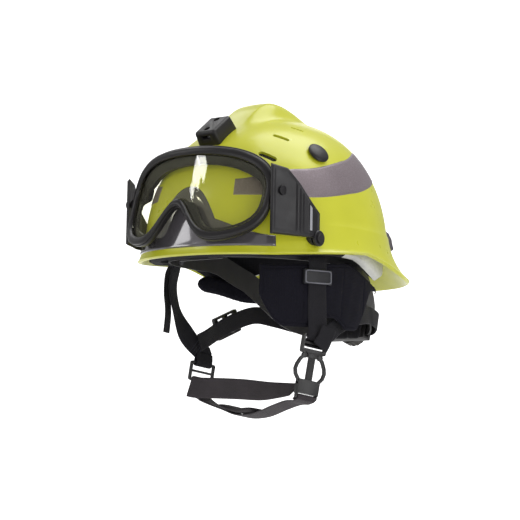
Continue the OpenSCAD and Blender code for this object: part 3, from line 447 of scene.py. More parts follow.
def add_stage():
    """White floor far under the helmet that sweeps up into a wall behind it, with a painted glow that is strongest far
    behind and fades towards the sides.
    """
    floor_z, bend, reach, half_wide = -0.42, 1.6, 6.0, 5.0
    profile = [(-4.0, floor_z), (0.0, floor_z), (reach - bend, floor_z)]
    profile += [(reach - bend + bend * math.sin(a), floor_z + bend * (1 - math.cos(a)))
                for a in (math.radians(7.5 * k) for k in range(1, 13))]
    profile += [(reach, 4.0)]
    back, right, _ = view_axes(CAMERA_TURN, 0)
    spots = [tuple(-back * r + right * x + Vector((0, 0, z))) for r, z in profile for x in (-half_wide, half_wide)]
    mesh = bpy.data.meshes.new("studio_sweep")
    mesh.from_pydata(spots, [], [(2 * i, 2 * i + 1, 2 * i + 3, 2 * i + 2) for i in range(len(profile) - 1)])
    mesh.shade_smooth()
    sweep = placed("studio_sweep", mesh)
    n = Nodes("studio_paint")
    place = n.node("NewGeometry").outputs["Position"]
    # The glow is painted light on the sweep: emission that is nil near the helmet, strongest far behind it and fading
    # towards the sides.
    glow = 1.0
    for direction, dark, bright in ((-back, 0.3, 2.2), (right, 1.7, 1.2), (-right, 1.7, 1.2)):
        along = n.node("VectorMath", {0: place, 1: direction}, operation="DOT_PRODUCT").outputs["Value"]
        glow = n.math("MULTIPLY", n.ramp(along, dark, bright), glow)
    mesh.materials.append(n.done((0.85, 0.85, 0.85), 1, **{"Emission Color": (1, 1, 1), "Emission Strength": glow}))


add_stage()

# ---------------------------------------------------------------- making pieces


def make(name, points, faces, uv=None, material=None, smooth=40):
    """Mesh object from points in millimetres."""
    mesh = bpy.data.meshes.new(name)
    mesh.from_pydata((np.asarray(points).reshape(-1, 3) * MM).tolist(), [], faces)
    if uv is not None:
        layer = mesh.uv_layers.new(name="band")
        corner = np.zeros(len(mesh.loops), np.int32)
        mesh.loops.foreach_get("vertex_index", corner)
        layer.data.foreach_set("uv", np.asarray(uv, np.float32).reshape(-1, 2)[corner].ravel())
    obj = placed(name, mesh)
    if material:
        mesh.materials.append(MATERIALS[material])
    tidy(obj)
    shade(obj, smooth)
    return obj


def tidy(obj):
    work = bmesh.new()
    work.from_mesh(obj.data)
    bmesh.ops.recalc_face_normals(work, faces=work.faces)
    work.to_mesh(obj.data)
    work.free()


def shade(obj, degrees=40):
    obj.data.shade_smooth()
    obj.data.set_sharp_from_angle(angle=math.radians(degrees))


def settle(obj, *modifiers):
    """Adds modifiers given as (type, settings) and applies them."""
    for kind, settings in modifiers:
        modifier = obj.modifiers.new(kind.lower(), kind)
        for key, value in settings.items():
            setattr(modifier, key, value)
    depsgraph = bpy.context.evaluated_depsgraph_get()
    mesh = bpy.data.meshes.new_from_object(obj.evaluated_get(depsgraph))
    old = obj.data
    obj.modifiers.clear()
    obj.data = mesh
    mesh.name = obj.name
    bpy.data.meshes.remove(old)
    return obj


def grid_faces(rows, cols, close_rows=False, close_cols=False, start=0):
    def at(i, j):
        return start + (i % rows) * cols + j % cols
    return [(at(i, j), at(i, j + 1), at(i + 1, j + 1), at(i + 1, j))
            for i in range(rows if close_rows else rows - 1)
            for j in range(cols if close_cols else cols - 1)]


def tube(name, sections, material, ends=True, closed=False, uv=None, smooth=40):
    """Solid from a row of closed cross-sections, shaped (n, m, 3)."""
    sections = np.asarray(sections, float)
    n, m = sections.shape[:2]
    faces = grid_faces(n, m, close_rows=closed, close_cols=True)
    if ends and not closed:
        faces += [tuple(range(m)), tuple(range((n - 1) * m, n * m))[::-1]]
    return make(name, sections, faces, uv, material, smooth)


def slab(name, top, bottom, material, smooth=50):
    """Closed sheet from two grids of points, one for each face."""
    n, m = top.shape[:2]
    border = [i * m for i in range(n)] + [(n - 1) * m + j for j in range(1, m)] \
        + [i * m + m - 1 for i in range(n - 2, -1, -1)] + list(range(m - 2, 0, -1))
    faces = grid_faces(n, m) + grid_faces(n, m, start=n * m)
    faces += [(a, b, b + n * m, a + n * m) for a, b in zip(border, border[1:] + border[:1])]
    return make(name, np.concatenate([top, bottom]), faces, material=material, smooth=smooth)


def own(obj, node):
    """The piece stands for this CAD node and moves and is finished as it is."""
    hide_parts(node)
    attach(obj, BODY_OF[node])
    return obj


def join(name, objects):
    """Joins meshes into one object, keeping their materials."""
    work = bmesh.new()
    mats = []
    for obj in objects:
        first = len(mats)
        mats += list(obj.data.materials)
        before = len(work.faces)
        work.from_mesh(obj.data)
        work.faces.ensure_lookup_table()
        for face in work.faces[before:]:
            face.material_index += first
    mesh = bpy.data.meshes.new(name)
    work.to_mesh(mesh)
    work.free()
    for mat in mats:
        mesh.materials.append(mat)
    for obj in objects:
        bpy.data.objects.remove(obj)
    out = placed(name, mesh)
    shade(out)
    return out


SIDES = (("left", 1), ("right", -1))


def on_side(u, sign):
    return u if sign > 0 else 180 - u


# ---------------------------------------------------------------- the shell's surface

DOME_HALF_WIDTH, DOME_FRONT, DOME_REAR, DOME_HEIGHT = 112, 131, 112, 141
RIDGE_HEIGHT, RIDGE_HALF_WIDTH = 16, 32
SHELL_WALL, LINER_THICK = 3.2, 11
LINER_GAP = 1.4                 # between the shell's inside and the liner
SKIRT_TOP, BRIM_FRONT, BRIM_SIDE, BRIM_REAR, REAR_DROP = 28, 6, 6.5, 32, 18
ROUNDNESS, FOOT_ANGLE = 0.885, 10


# u is the azimuth in degrees, 0 at the wearer's left and -90 at the front


def rim_z(u):
    s = sin(u)
    rear = 1 - REAR_DROP * np.clip(sin(90 * np.clip(s / 0.75, 0, 1)), 0, 1) ** 1.2
    return np.where(s > 0, rear, 1 - 7 * np.clip(-s / 0.7, 0, 1))


def brim_reach(u):
    """How far the brim flares out."""
    s = sin(u)
    return np.where(s > 0, mix(BRIM_SIDE, BRIM_REAR, np.clip(s, 0, 1) ** 1.5),
                    mix(BRIM_SIDE, BRIM_FRONT, np.clip(-s, 0, 1) ** 2))


def plain_dome(u, phi):
    r = cos(phi) ** ROUNDNESS
    depth = np.where(sin(u) < 0, DOME_FRONT, DOME_REAR)
    return stack(DOME_HALF_WIDTH * signed_pow(cos(u), ROUNDNESS) * r,
                 depth * signed_pow(sin(u), ROUNDNESS) * r, DOME_HEIGHT * sin(phi) ** ROUNDNESS)


def dome_outward(p):
    depth = np.where(p[..., 1] < 0, DOME_FRONT, DOME_REAR)
    return unit(stack(p[..., 0] / DOME_HALF_WIDTH ** 2, p[..., 1] / depth ** 2,
                      np.maximum(p[..., 2], 0) / DOME_HEIGHT ** 2))


def ridge_rise(p):
    """Height of the central ridge over the plain dome."""
    return RIDGE_HEIGHT * (1 - ease(RIDGE_HALF_WIDTH * 0.42, RIDGE_HALF_WIDTH, np.abs(p[..., 0]))) \
        * ease(-74, -21, p[..., 1]) * (1 - ease(-24, 53, p[..., 1]))


def skirt_point(u, s, flared):
    """Point of the skirt; s is 0 at the rim and 1 at the foot of the dome, flared is 1 with the brim's flare."""
    z = mix(rim_z(u), SKIRT_TOP, s)
    phi = np.degrees(np.arcsin((np.maximum(z, 0) / DOME_HEIGHT) ** (1 / ROUNDNESS)))
    p = plain_dome(u, phi)
    depth = np.where(sin(u) < 0, DOME_FRONT, DOME_REAR)
    out = unit(stack(p[..., 0] / DOME_HALF_WIDTH ** 2, p[..., 1] / depth ** 2, 0))
    step = 1.5 * (1 - ease(-0.25, 0.1, -sin(u) - 0.35)) * (1 - ease(0.9, 1, s))
    reach = brim_reach(u) * np.clip(1 - s, 0, 1) ** 2.2 + step
    return stack(p[..., 0], p[..., 1], z) + flared * out * reach[..., None]


def shell_point(u, w):
    """w is 0 at the rim, 1 at the dome's foot and 2 at the top."""
    u, w = np.broadcast_arrays(np.asarray(u, float), np.asarray(w, float))
    phi = np.minimum(89.9, mix(FOOT_ANGLE, 90, np.clip(w - 1, 0, 1)))
    dome = plain_dome(u, phi)
    dome = dome + dome_outward(dome) * ridge_rise(dome)[..., None]
    skirt = skirt_point(u, np.clip(w, 0, 1), 1)
    return np.where((w < 1)[..., None], skirt, dome)


def shell_normal(u, w):
    u, w = np.broadcast_arrays(np.asarray(u, float), np.asarray(w, float))
    du = shell_point(u + 0.5, w) - shell_point(u - 0.5, w)
    dw = shell_point(u, np.minimum(w + 0.01, 1.999)) - shell_point(u, np.maximum(w - 0.01, 0))
    return unit(np.cross(du, dw))


def off_shell(u, w, off):
    return shell_point(u, w) + np.asarray(off, float)[..., None] * shell_normal(u, w)


def shell_frame(u, w):
    """Origin and axes on the shell: across, up the shell, outwards."""
    n = shell_normal(u, w)
    across = unit(np.cross(np.array([0, 0, 1.0]), n))
    return shell_point(u, w), across, np.cross(n, across), n


AROUND = circle(240)
SHELL_ROWS = np.concatenate([np.linspace(0, 1, 22)[:-1], 1 + np.linspace(0, 0.985, 60)])
# azimuth, row on the shell, length and width of each vent slot on the left
VENTS = ((-49, 1.335, 19, 6.5), (-40, 1.50, 17, 4.6), (-23.5, 1.62, 13, 2.6))
VENT_TURN = 61


def closed_dome(name, outer, inner, outer_pole, inner_pole, material):
    """Bowl with a rounded rim, from rings of points outside and inside."""
    mid = (outer[0] + inner[0]) / 2
    lip = mid + (mid - (outer[1] + inner[1]) / 2) * 0.25
    outer_low = mix(outer[0], lip, 0.45)
    inner_low = mix(inner[0], lip, 0.45)
    rings = np.concatenate([inner[::-1], [inner_low, lip, outer_low], outer])
    n, m = rings.shape[:2]
    points = np.concatenate([rings.reshape(-1, 3), [inner_pole, outer_pole]])
    faces = grid_faces(n, m, close_cols=True)
    faces += [(j, n * m, (j + 1) % m) for j in range(m)]
    faces += [((n - 1) * m + j, (n - 1) * m + (j + 1) % m, n * m + 1) for j in range(m)]
    return make(name, points, faces, material=material, smooth=60)


def slot_cutter(u, w, length, width, turn, deep=9, points=24):
    """Round-ended slot through the shell, as a prism of points."""
    centre, across, up, out = shell_frame(u, w)
    a = circle(points)
    x = np.sign(cos(a) + 1e-6) * (length - width) / 2 + cos(a) * width / 2
    y = sin(a) * width / 2
    c, s = cos(turn), sin(turn)
    # the design turns from the surface frame whose x axis points down the shell
    flat = (x * c - y * s)[:, None] * -up + (x * s + y * c)[:, None] * across
    return np.stack([centre + flat + out * d for d in (-deep, deep)])


def outer_shell():
    u, w = AROUND[None, :], SHELL_ROWS[:, None]
    bead = 0.7 * bell(w, 0.05)
    top = float(shell_point(0, 2)[2])
    shell = closed_dome("outer_shell_skin", off_shell(u, w, bead), off_shell(u, w, -SHELL_WALL),
                        [0, 0, top], [0, 0, top - SHELL_WALL], "shell_paint")
    cutters = []
    for sign in (1, -1):
        for vent in VENTS:
            ring = slot_cutter(*vent, VENT_TURN) * np.array([sign, 1, 1])
            cutters.append(tube("cutter", ring, "shell_paint"))
    cutter = join("cutter", cutters)
    settle(shell, ("BOOLEAN", {"operation": "DIFFERENCE", "object": cutter, "solver": "EXACT"}))
    bpy.data.objects.remove(cutter)
    shade(shell, 42)
    return own(shell, "outer_shell")


def patch(name, u, low, high, outside, material, rows, edge):
    """Sheet on the shell between two rows at each azimuth, thinning to its edges over edge millimetres."""
    k = np.linspace(0, 1, rows)[None, :]
    w = mix(low[:, None], high[:, None], k)
    u = np.broadcast_to(u[:, None], w.shape)
    base, normal = shell_point(u, w), shell_normal(u, w)
    rise_v = np.linalg.norm(base[:, -1] - base[:, 0], axis=-1)[:, None]
    from_v = np.minimum(k, 1 - k) * rise_v
    run = np.concatenate([[0], np.cumsum(np.linalg.norm(np.diff(base[:, rows // 2], axis=0), axis=1))])
    from_u = np.minimum(run, run[-1] - run)[:, None]
    near = np.clip(np.minimum(from_u, from_v) / edge, 0, 1)
    rise = np.sqrt(1 - (1 - near) ** 2)
    return slab(name, base + normal * (outside * rise)[..., None], base, material)


def row_at_height(u, z):
    """Row of shell_point that lies at that height."""
    foot = plain_dome(u, FOOT_ANGLE)[..., 2]
    phi = np.degrees(np.arcsin((np.maximum(z, foot) / DOME_HEIGHT) ** (1 / ROUNDNESS)))
    return 1 + (phi - FOOT_ANGLE) / (90 - FOOT_ANGLE)


def tapes():
    u = np.linspace(-66, 79.6, 120)
    low = row_at_height(u, 50 + 34 * ease(-30, 50, u))
    high = row_at_height(u, 66 + 12 * ease(-66, -30, u) + 32 * ease(-34, 34, u))
    for side, sign in SIDES:
        own(patch(f"tape_{side}", on_side(u, sign), low, high, 0.45, "reflective_tape", 22, 0.5),
            f"reflective_tape_{side}")


def peak_plate():
    u = np.linspace(-136, -44, 110)
    high = mix(0.5, 1.16, cos(np.clip((u + 90) * 90 / 50, -89.9, 89.9)) ** 2.4)
    own(patch("peak_cover", u, 0.2 + 0 * u, high, 1.5, "peak_gloss", 40, 2.2), "peak_plate")


def impact_liner():
    w = np.concatenate([[0.35, 0.65, 0.92], 1 + np.linspace(0.03, 0.97, 36)])[:, None]
    u = AROUND[None, ::2]

    def ring(off):
        skirt = skirt_point(u, np.minimum(w, 1), 0)
        dome = plain_dome(u, mix(FOOT_ANGLE, 90, np.clip(w - 1, 0, 0.999)))
        p = np.where((w < 1)[..., None], skirt, dome)
        p = p + off * dome_outward(p)
        foot = skirt_point(u, 0.1 + 0 * u, 0)
        foot = foot + off * dome_outward(foot)
        drop = rim_z(u) + 1 - 5.5 * ease(-0.3, 0.25, sin(u))
        foot[..., 2] = mix(drop, -2, ease(0.35, 0.75, sin(u)))
        return np.concatenate([foot, p])

    out = -SHELL_WALL - LINER_GAP
    deep = out - LINER_THICK
    liner = closed_dome("liner_shell", ring(out), ring(deep), [0, 0, DOME_HEIGHT + out], [0, 0, DOME_HEIGHT + deep],
                        "liner_foam")
    liner.data.materials.append(MATERIALS["pad_fabric"])
    for face in liner.data.polygons:    # the inside is lined with dark cloth; the front foot gets the same dark cloth as painted shade under the brim, and the rear foot stays pale foam
        x, y, z = face.center
        inwards = face.normal.dot(Vector((x, y, z * 0.6)).normalized()) < -0.35
        if inwards or y < -0.02 and z < 0.02:
            face.material_index = 1
    own(liner, "impact_liner")


def rear_clips():
    for side, sign in SIDES:
        u = on_side(np.linspace(42.2, 51.8, 24), sign)
        own(patch(f"rear_clip_cover_{side}", u, 0.66 + 0 * u, 1.02 + 0 * u, 4.2, "clip_plastic", 20, 2.5),
            f"rear_clip_{side}")


outer_shell()
tapes()
peak_plate()
impact_liner()
rear_clips()

# ---------------------------------------------------------------- goggles

LENS_RADIUS, FRAME_HALF_WIDTH, FRAME_HALF_HEIGHT, NOSE_ARCH = 130, 96, 44, 36
FRAME_Z, FRAME_LEAN, FRAME_Y, SQUARENESS = 52, 0.26, -136, 3.3
LOWER_HALF_HEIGHT = FRAME_HALF_HEIGHT + 6
LENS_FRONT = 2.3
SIDE_WALL = 5.5                 # extra depth of the frame at its upper sides


def goggle(s, v, d):
    """Point of the curved goggles, s along them, v up them and d in front of their face."""
    a = np.degrees(s / LENS_RADIUS)
    return stack((LENS_RADIUS + d) * sin(a), FRAME_Y + LENS_RADIUS - (LENS_RADIUS + d) * cos(a) + v * FRAME_LEAN,
                 FRAME_Z + v)


def nose(s, wide=23):
    return NOSE_ARCH * bell(s, wide)


def crown(s, w):
    return 3 - 9 * (s / w) ** 2


def outline(t, inset):
    """Outline of the frame at turn t, moved inwards."""
    w = FRAME_HALF_WIDTH - inset * 0.8
    h = np.where(sin(t) > 0, FRAME_HALF_HEIGHT, LOWER_HALF_HEIGHT) - inset * 0.9
    s = w * signed_pow(cos(t), 2 / SQUARENESS)
    v = h * signed_pow(sin(t), 2 / SQUARENESS)
    return s, np.where(v > 0, v + crown(s, w), v + nose(s) * ease(0, -0.3, sin(t)))


def even_turns(count):
    """Turns whose outline points lie an even way apart."""
    t = np.linspace(0, 360, 4001)
    s, v = outline(t, 0)
    along = np.concatenate([[0], np.cumsum(np.hypot(np.diff(s), np.diff(v)))])
    return np.interp(np.linspace(0, along[-1], count, endpoint=False), along, t)


TURNS = even_turns(260)


def near_nose(t):
    """Near 1 over the nose."""
    s = FRAME_HALF_WIDTH * signed_pow(cos(t), 2 / SQUARENESS)
    return bell(s, 30) * ease(0.1, -0.3, sin(t))


def frame_back(t):
    """Depth of the frame's rear edge: deep along the top and at the upper sides."""
    depth = mix(mix(4.2, 13, ease(-0.1, 0.7, sin(t))), 1.6, near_nose(t))
    return -np.maximum(depth, 4.2 + SIDE_WALL * ease(0.78, 0.95, np.abs(cos(t))) * ease(0, 0.12, sin(t)))


def swept_outline(name, section, material, smooth=35, rounding=0.5):
    """Ring of sections round the goggles; section(t) gives (inset, depth) pairs."""
    rings = []
    for inset, depth in section:
        inset = inset(TURNS) if callable(inset) else inset + 0 * TURNS
        depth = depth(TURNS) if callable(depth) else depth + 0 * TURNS
        s, v = outline(TURNS, inset)
        rings.append(goggle(s, v, depth))
    obj = tube(name, np.stack(rings, 1), material, closed=True)
    settle(obj, ("BEVEL", {"width": rounding * MM, "segments": 2, "limit_method": "ANGLE",
                           "angle_limit": math.radians(32)}))
    shade(obj, smooth)
    return obj


def goggle_frame():
    def back(k):
        return lambda t: frame_back(t) * k

    def lip(t):
        """The inner flange is widest along the top and beside the nose."""
        s, _ = outline(t, 0)
        beside = bell(np.abs(s) - 24, 11) * ease(0, -0.4, sin(t))
        return 14 + 5.5 * ease(0, 0.8, sin(t)) - 3 * near_nose(t) + 10 * beside

    section = [(1.5, back(1)), (0, back(0.75)), (0, 0.4), (0.6, 2.4), (4.6, 2.4), (4.6, 0), (11, -0.2),
               (lip, back(0.55)), (lip, back(0.9)), (10, back(1))]
    own(swept_outline("goggle_body", section, "goggle_rubber"), "goggle_frame")


def goggle_bezel():
    section = [(1.2, 2.6), (2.2, 5.0), (4.5, 6.2), (7.0, 6.0), (9.5, 4.6), (10.5, 2.6)]
    own(swept_outline("goggle_rim", section, "goggle_rubber", 50, 0.35), "goggle_bezel")


def goggle_foam():
    def deep(k):
        def depth(t):
            thick = mix(mix(0.4, 2.6, ease(0, 0.9, sin(t))), 0.5, near_nose(t))
            thick = np.maximum(thick, 2.8 * ease(0.85, 0.97, np.abs(cos(t))) * ease(0, 0.12, sin(t)))
            return frame_back(t) - 0.2 - k * thick
        return depth

    section = [(8.8, deep(0)), (8.4, deep(0.7)), (7, deep(1)), (4.6, deep(1)), (3.2, deep(0.7)), (2.6, deep(0))]
    own(swept_outline("goggle_face_foam", section, "face_foam", 60, 0.3), "goggle_foam")


def goggle_lens():
    inset, cols, rows = 5, 90, 26
    w = FRAME_HALF_WIDTH - inset
    high = FRAME_HALF_HEIGHT - inset * 0.9
    low = LOWER_HALF_HEIGHT - inset * 0.9
    s = w * 0.998 * signed_pow(cos(180 - 180 * np.linspace(0, 1, cols)), 0.8)
    edge = np.maximum(0, 1 - (np.abs(s) / w) ** SQUARENESS) ** (1 / SQUARENESS)
    bottom = nose(s) - low * edge
    top = np.maximum(high * edge + crown(s, w), bottom + 1)
    v = mix(bottom[:, None], top[:, None], np.linspace(0, 1, rows)[None, :])
    s = np.broadcast_to(s[:, None], v.shape)
    own(slab("goggle_pane", goggle(s, v, LENS_FRONT + 0 * v), goggle(s, v, 0.3 + 0 * v), "lens_clear", 60),
        "goggle_lens")


goggle_frame()
goggle_bezel()
goggle_foam()
goggle_lens()

# ---------------------------------------------------------------- hard parts made from their CAD shapes


def paint(obj, node):
    obj.data.materials.clear()
    obj.data.materials.append(MATERIALS[SLOT_OF[node]])


def softened(node, width, flat=1.5, angle=32):
    """The node's shape with its facets merged and its edges rounded."""
    obj = placed(f"{node}_soft", frame["nodes"][node].data.copy())
    paint(obj, node)
    work = bmesh.new()
    work.from_mesh(obj.data)
    bmesh.ops.remove_doubles(work, verts=work.verts, dist=0.01 * MM)
    bmesh.ops.dissolve_limit(work, angle_limit=math.radians(flat), verts=work.verts, edges=work.edges)
    work.to_mesh(obj.data)
    work.free()
    settle(obj, ("BEVEL", {"width": width * MM, "segments": 2, "limit_method": "ANGLE",
                           "angle_limit": math.radians(angle), "use_clamp_overlap": True}))
    shade(obj, 36)
    return own(obj, node)


for hard in ("buckle_tongue", "buckle_receiver", "buckle_prong_front", "buckle_prong_rear", "chin_ring_right",
             "strap_slider_right", "guard_loop_left", "ratchet_housing"):
    softened(hard, 0.45)
for hard in ("crown_bolt_left", "crown_bolt_right", "goggle_clip_left", "goggle_clip_right",
             "goggle_hinge_left", "goggle_hinge_right", "lamp_bracket_screws"):
    softened(hard, 0.35)
softened("ratchet_knob", 0.5)
softened("lamp_bracket", 1.1)

for cad in ("brow_band", "strap_anchor_left", "strap_anchor_right", "band_left", "band_right",
            "vent_screen_left", "vent_screen_right"):
    paint(frame["nodes"][cad], cad)

# ---------------------------------------------------------------- outriggers

# the plate's middle line and its height, from the goggles to the pivot on the shell
ARM_PATH = np.array([[91.9, -112.4, 44], [99.5, -97, 42], [105, -87, 35.5], [108.6, -76, 28.5], [110.5, -62, 21.5]])
ARM_HEIGHTS = np.array([66, 63, 51, 37, 24.0])
PIVOT = np.array([110.5, -64, 10])
UP = np.array([0, 0, 1])


def outrigger(side, sign):
    """Dished arm plate with a raised border, ribs and a blank raised panel near its tip."""
    cols, rows = 96, 44
    t = np.linspace(0, 4, cols)
    mid = interp_path(t, range(5), ARM_PATH)
    high = np.interp(t, range(5), ARM_HEIGHTS)
    k = np.linspace(-1, 1, rows)
    out = unit(np.array([1, -0.5, 0]))
    run = np.concatenate([[0], np.cumsum(np.linalg.norm(np.diff(mid, axis=0), axis=1))])
    from_end = np.minimum(run, run[-1] - run)[:, None]
    from_edge = (1 - np.abs(k))[None, :] * high[:, None] / 2
    inward = np.minimum(from_end, from_edge)
    border = ease(0, 1.3, inward) - 0.2 * ease(3.0, 4.0, inward)
    ribs = sum(0.6 * bell(run[:, None] - x, 0.6) * ease(4.0, 5.5, inward)
               for x in (27.5, 31.5, 35.5))
    panel = 0.5 * ease(42.9, 43.7, run)[:, None] * (1 - ease(48.2, 49, run))[:, None] * ease(4, 5, from_edge)
    off = -0.5 + 2.1 * border + ribs + panel
    face = mid[:, None] + UP * (k[None, :] * high[:, None] / 2)[..., None]
    flip = np.array([sign, 1, 1])
    front, back = (face + out * off[..., None]) * flip, (face - out * 1.4) * flip
    plate = slab(f"arm_plate_{side}", front, back, "arm_plastic", 30)

    def ring(radius, x):
        a = circle(48)
        return stack(PIVOT[0] + x, PIVOT[1] + radius * cos(a), PIVOT[2] + radius * sin(a))
    profile = ((3.1, -1.5), (7.0, -1.5), (7.5, -1.1), (7.5, 1.3), (6.9, 1.9), (3.9, 1.9), (3.1, 1.5))
    boss = tube(f"boss_{side}", np.stack([ring(r, x) for r, x in profile]) * flip, "arm_plastic", ends=False,
                closed=True, smooth=30)
    where = np.linspace(44.2, 47.4, 12)
    label_mid = interp_path(where, run, mid)
    label_high = np.interp(where, run, high) - 13
    label_face = label_mid[:, None] + UP * (np.linspace(-0.5, 0.5, 14) * label_high[:, None])[..., None]
    label = slab(f"label_{side}", (label_face + out * 1.85) * flip, (label_face + out * 1.2) * flip, "blank_label", 30)
    own(join(f"arm_{side}", [plate, boss, label]), f"outrigger_{side}")


for side, sign in SIDES:
    outrigger(side, sign)

# ---------------------------------------------------------------- webbing

WEB_WIDTH, WEB_THICK = 23, 1.6
BUCKLE_CENTRE, BUCKLE_TURN, BUCKLE_TIP = np.array([90.2, -47.8, -109]), 66, 9.5
RING_CENTRE, RING_TURN, RING_TIP, RING_BAR_Z = np.array([-88.2, -1.8, -109.5]), 73.5, 8.8, 8.9


def local_axes(turn, tip):
    inward = np.array([-sin(turn), cos(turn), 0])
    up = np.array([sin(tip) * cos(turn), sin(tip) * sin(turn), cos(tip)])
    return np.cross(inward, up), inward, up


BUCKLE_ACROSS, BUCKLE_IN, BUCKLE_UP = local_axes(BUCKLE_TURN, BUCKLE_TIP)
RING_ACROSS, RING_OUT, RING_UP = local_axes(RING_TURN, RING_TIP)


def in_buckle(pairs):
    """Points of a path given in the buckle's own inward and upward axes."""
    return [BUCKLE_CENTRE + y * BUCKLE_IN + z * BUCKLE_UP for y, z in pairs]


def ring_fold(way):
    """Path of a strap folded round the ring's upper bar (way 1) or lower bar (way -1)."""
    fold = [[0.9, 10], [2.6, 4.4], [3, 0.8], [2.7, -1.9], [1.6, -2.8], [-1.6, -2.8], [-2.7, -1.9], [-3, 0.8],
            [-2.5, 4.4], [-1, 10]]
    return [RING_CENTRE + y * RING_OUT + way * (RING_BAR_Z + z) * RING_UP for y, z in fold]


def band(name, path, across, width, thick, material, taper=0.0, step=1.3):
    """Woven band with rounded selvedges, a slightly crowned face and ribs along it."""
    path, s = resampled(path, step)
    t = s / s[-1]
    along, side, face = path_axes(path, s, across)
    k = np.linspace(-1, 1, 29)
    half = width / 2 * (1 - taper * ease(0.9, 1, t))
    round_off = (1 - np.abs(k) ** 14) ** 0.5
    rib = 0.06 * np.cos(k * math.pi * 9)
    ring_x = np.concatenate([k, k[::-1]])
    ring_y = np.concatenate([round_off * (thick / 2 + rib) + 0.02, -round_off * (thick / 2 + rib) - 0.02])
    sections = path[:, None] + side[:, None] * ring_x[None, :, None] * half[:, None, None] \
        + face[:, None] * ring_y[None, :, None]
    uv = stack(s[:, None] + 0 * ring_x, ring_x[None, :] * width / 2 + 0 * s[:, None])
    return tube(name, sections, material, uv=uv, smooth=60)


STITCH_STEP, THREAD = 0.5, 0.32


def stitches(name, path, across, width, at, length, rows):
    """Block of lock stitches on a band's face, from at to at + length millimetres along it."""
    path, s = resampled(path, STITCH_STEP)
    along, side, face = path_axes(path, s, across)
    beads = []
    for row in range(rows):
        for x in np.linspace(-0.42, 0.42, 13) * width:
            where = at + length * row / (rows - 1)
            i = int(np.clip(where / STITCH_STEP, 1, len(path) - 2))
            for sign in (1, -1):
                centre = path[i] + side[i] * x + face[i] * sign * (WEB_THICK / 2 + 0.05)
                beads.append((centre, side[i], along[i], face[i]))
    points, faces = [], []
    a = circle(8)
    for centre, x_axis, y_axis, z_axis in beads:
        start = len(points)
        for e, r in ((-1.25, 0.35), (-0.9, 0.9), (0.9, 0.9), (1.25, 0.35)):
            for q in a:
                points.append(centre + x_axis * e * 0.75 + (y_axis * cos(q) + z_axis * sin(q)) * THREAD * r)
        faces += grid_faces(4, 8, close_cols=True, start=start)
        faces += [tuple(range(start, start + 8)), tuple(range(start + 24, start + 32))]
    return make(name, points, faces, material="thread", smooth=60)


def turning(a, b, low, high):
    """Across direction that turns from a to b between two shares of the way."""
    return lambda t: mix(np.asarray(a, float), np.asarray(b, float), ease(low, high, t))


LEFT_ACROSS, RIGHT_ACROSS = [0.32, 0.95, 0], [-0.32, 0.95, 0]
LOCK_WEAVE = [[-3.8, 32], [-3.8, 28], [-2.4, 25.7], [2.4, 23.9], [3.6, 22.2], [3.6, 20.8], [2.4, 19.3], [-1.6, 18.2]]
BAR_FOLD = [[8, -32.3], [5, -30.6], [2.9, -28.8], [0, -28.1], [-2.7, -29.1], [-3.3, -30.8], [-2.6, -32.4],
            [0, -33], [4, -33.6], [8, -34.3]]
SIDE_LEFT = [[89.2, -40.5, 16], [89.3, -41, 4], [90, -41.6, -2], [93.2, -42.6, -9.5], [93.4, -43.2, -24],
             [93.4, -43, -50], [94, -43, -66]]
SIDE_RIGHT = [[-89.2, -40.5, 16], [-89.3, -41, 3], [-90.6, -41, -6], [-96, -39.5, -26], [-95, -32, -53],
              [-93.4, -17, -75]]
CHIN_MAIN = [[-86, -2, -134.5], [-75, 0, -141.5], [-52, -1.4, -148.2], [-25, -8, -154.4], [8, -20, -153.5],
             [46, -38.5, -147], [68, -46, -143]]
CHIN_TAIL = [[-78, -31, -125], [-70, -30, -126.4], [-45, -29.7, -127.2], [-8, -34.4, -128.8], [30, -41.3, -131.4],
             [60, -50, -131.4], [76, -53, -130.6]]
NAPE = np.array([13, 107, -58.0])
NAPE_END = [NAPE[0] + 22, NAPE[1] + 6.8, NAPE[2] - 1.7]
NAPE_LEAN = math.tan(math.radians(15))


def rear_across(points):
    """The rear straps lean to lie on the adjuster."""
    path, s = resampled(points, 1.3)
    lean = mix(-0.25, NAPE_LEAN, ease(60, 110, path[:, 1]))
    return lambda t: np.array([0, np.interp(t, s / s[-1], lean), 1])


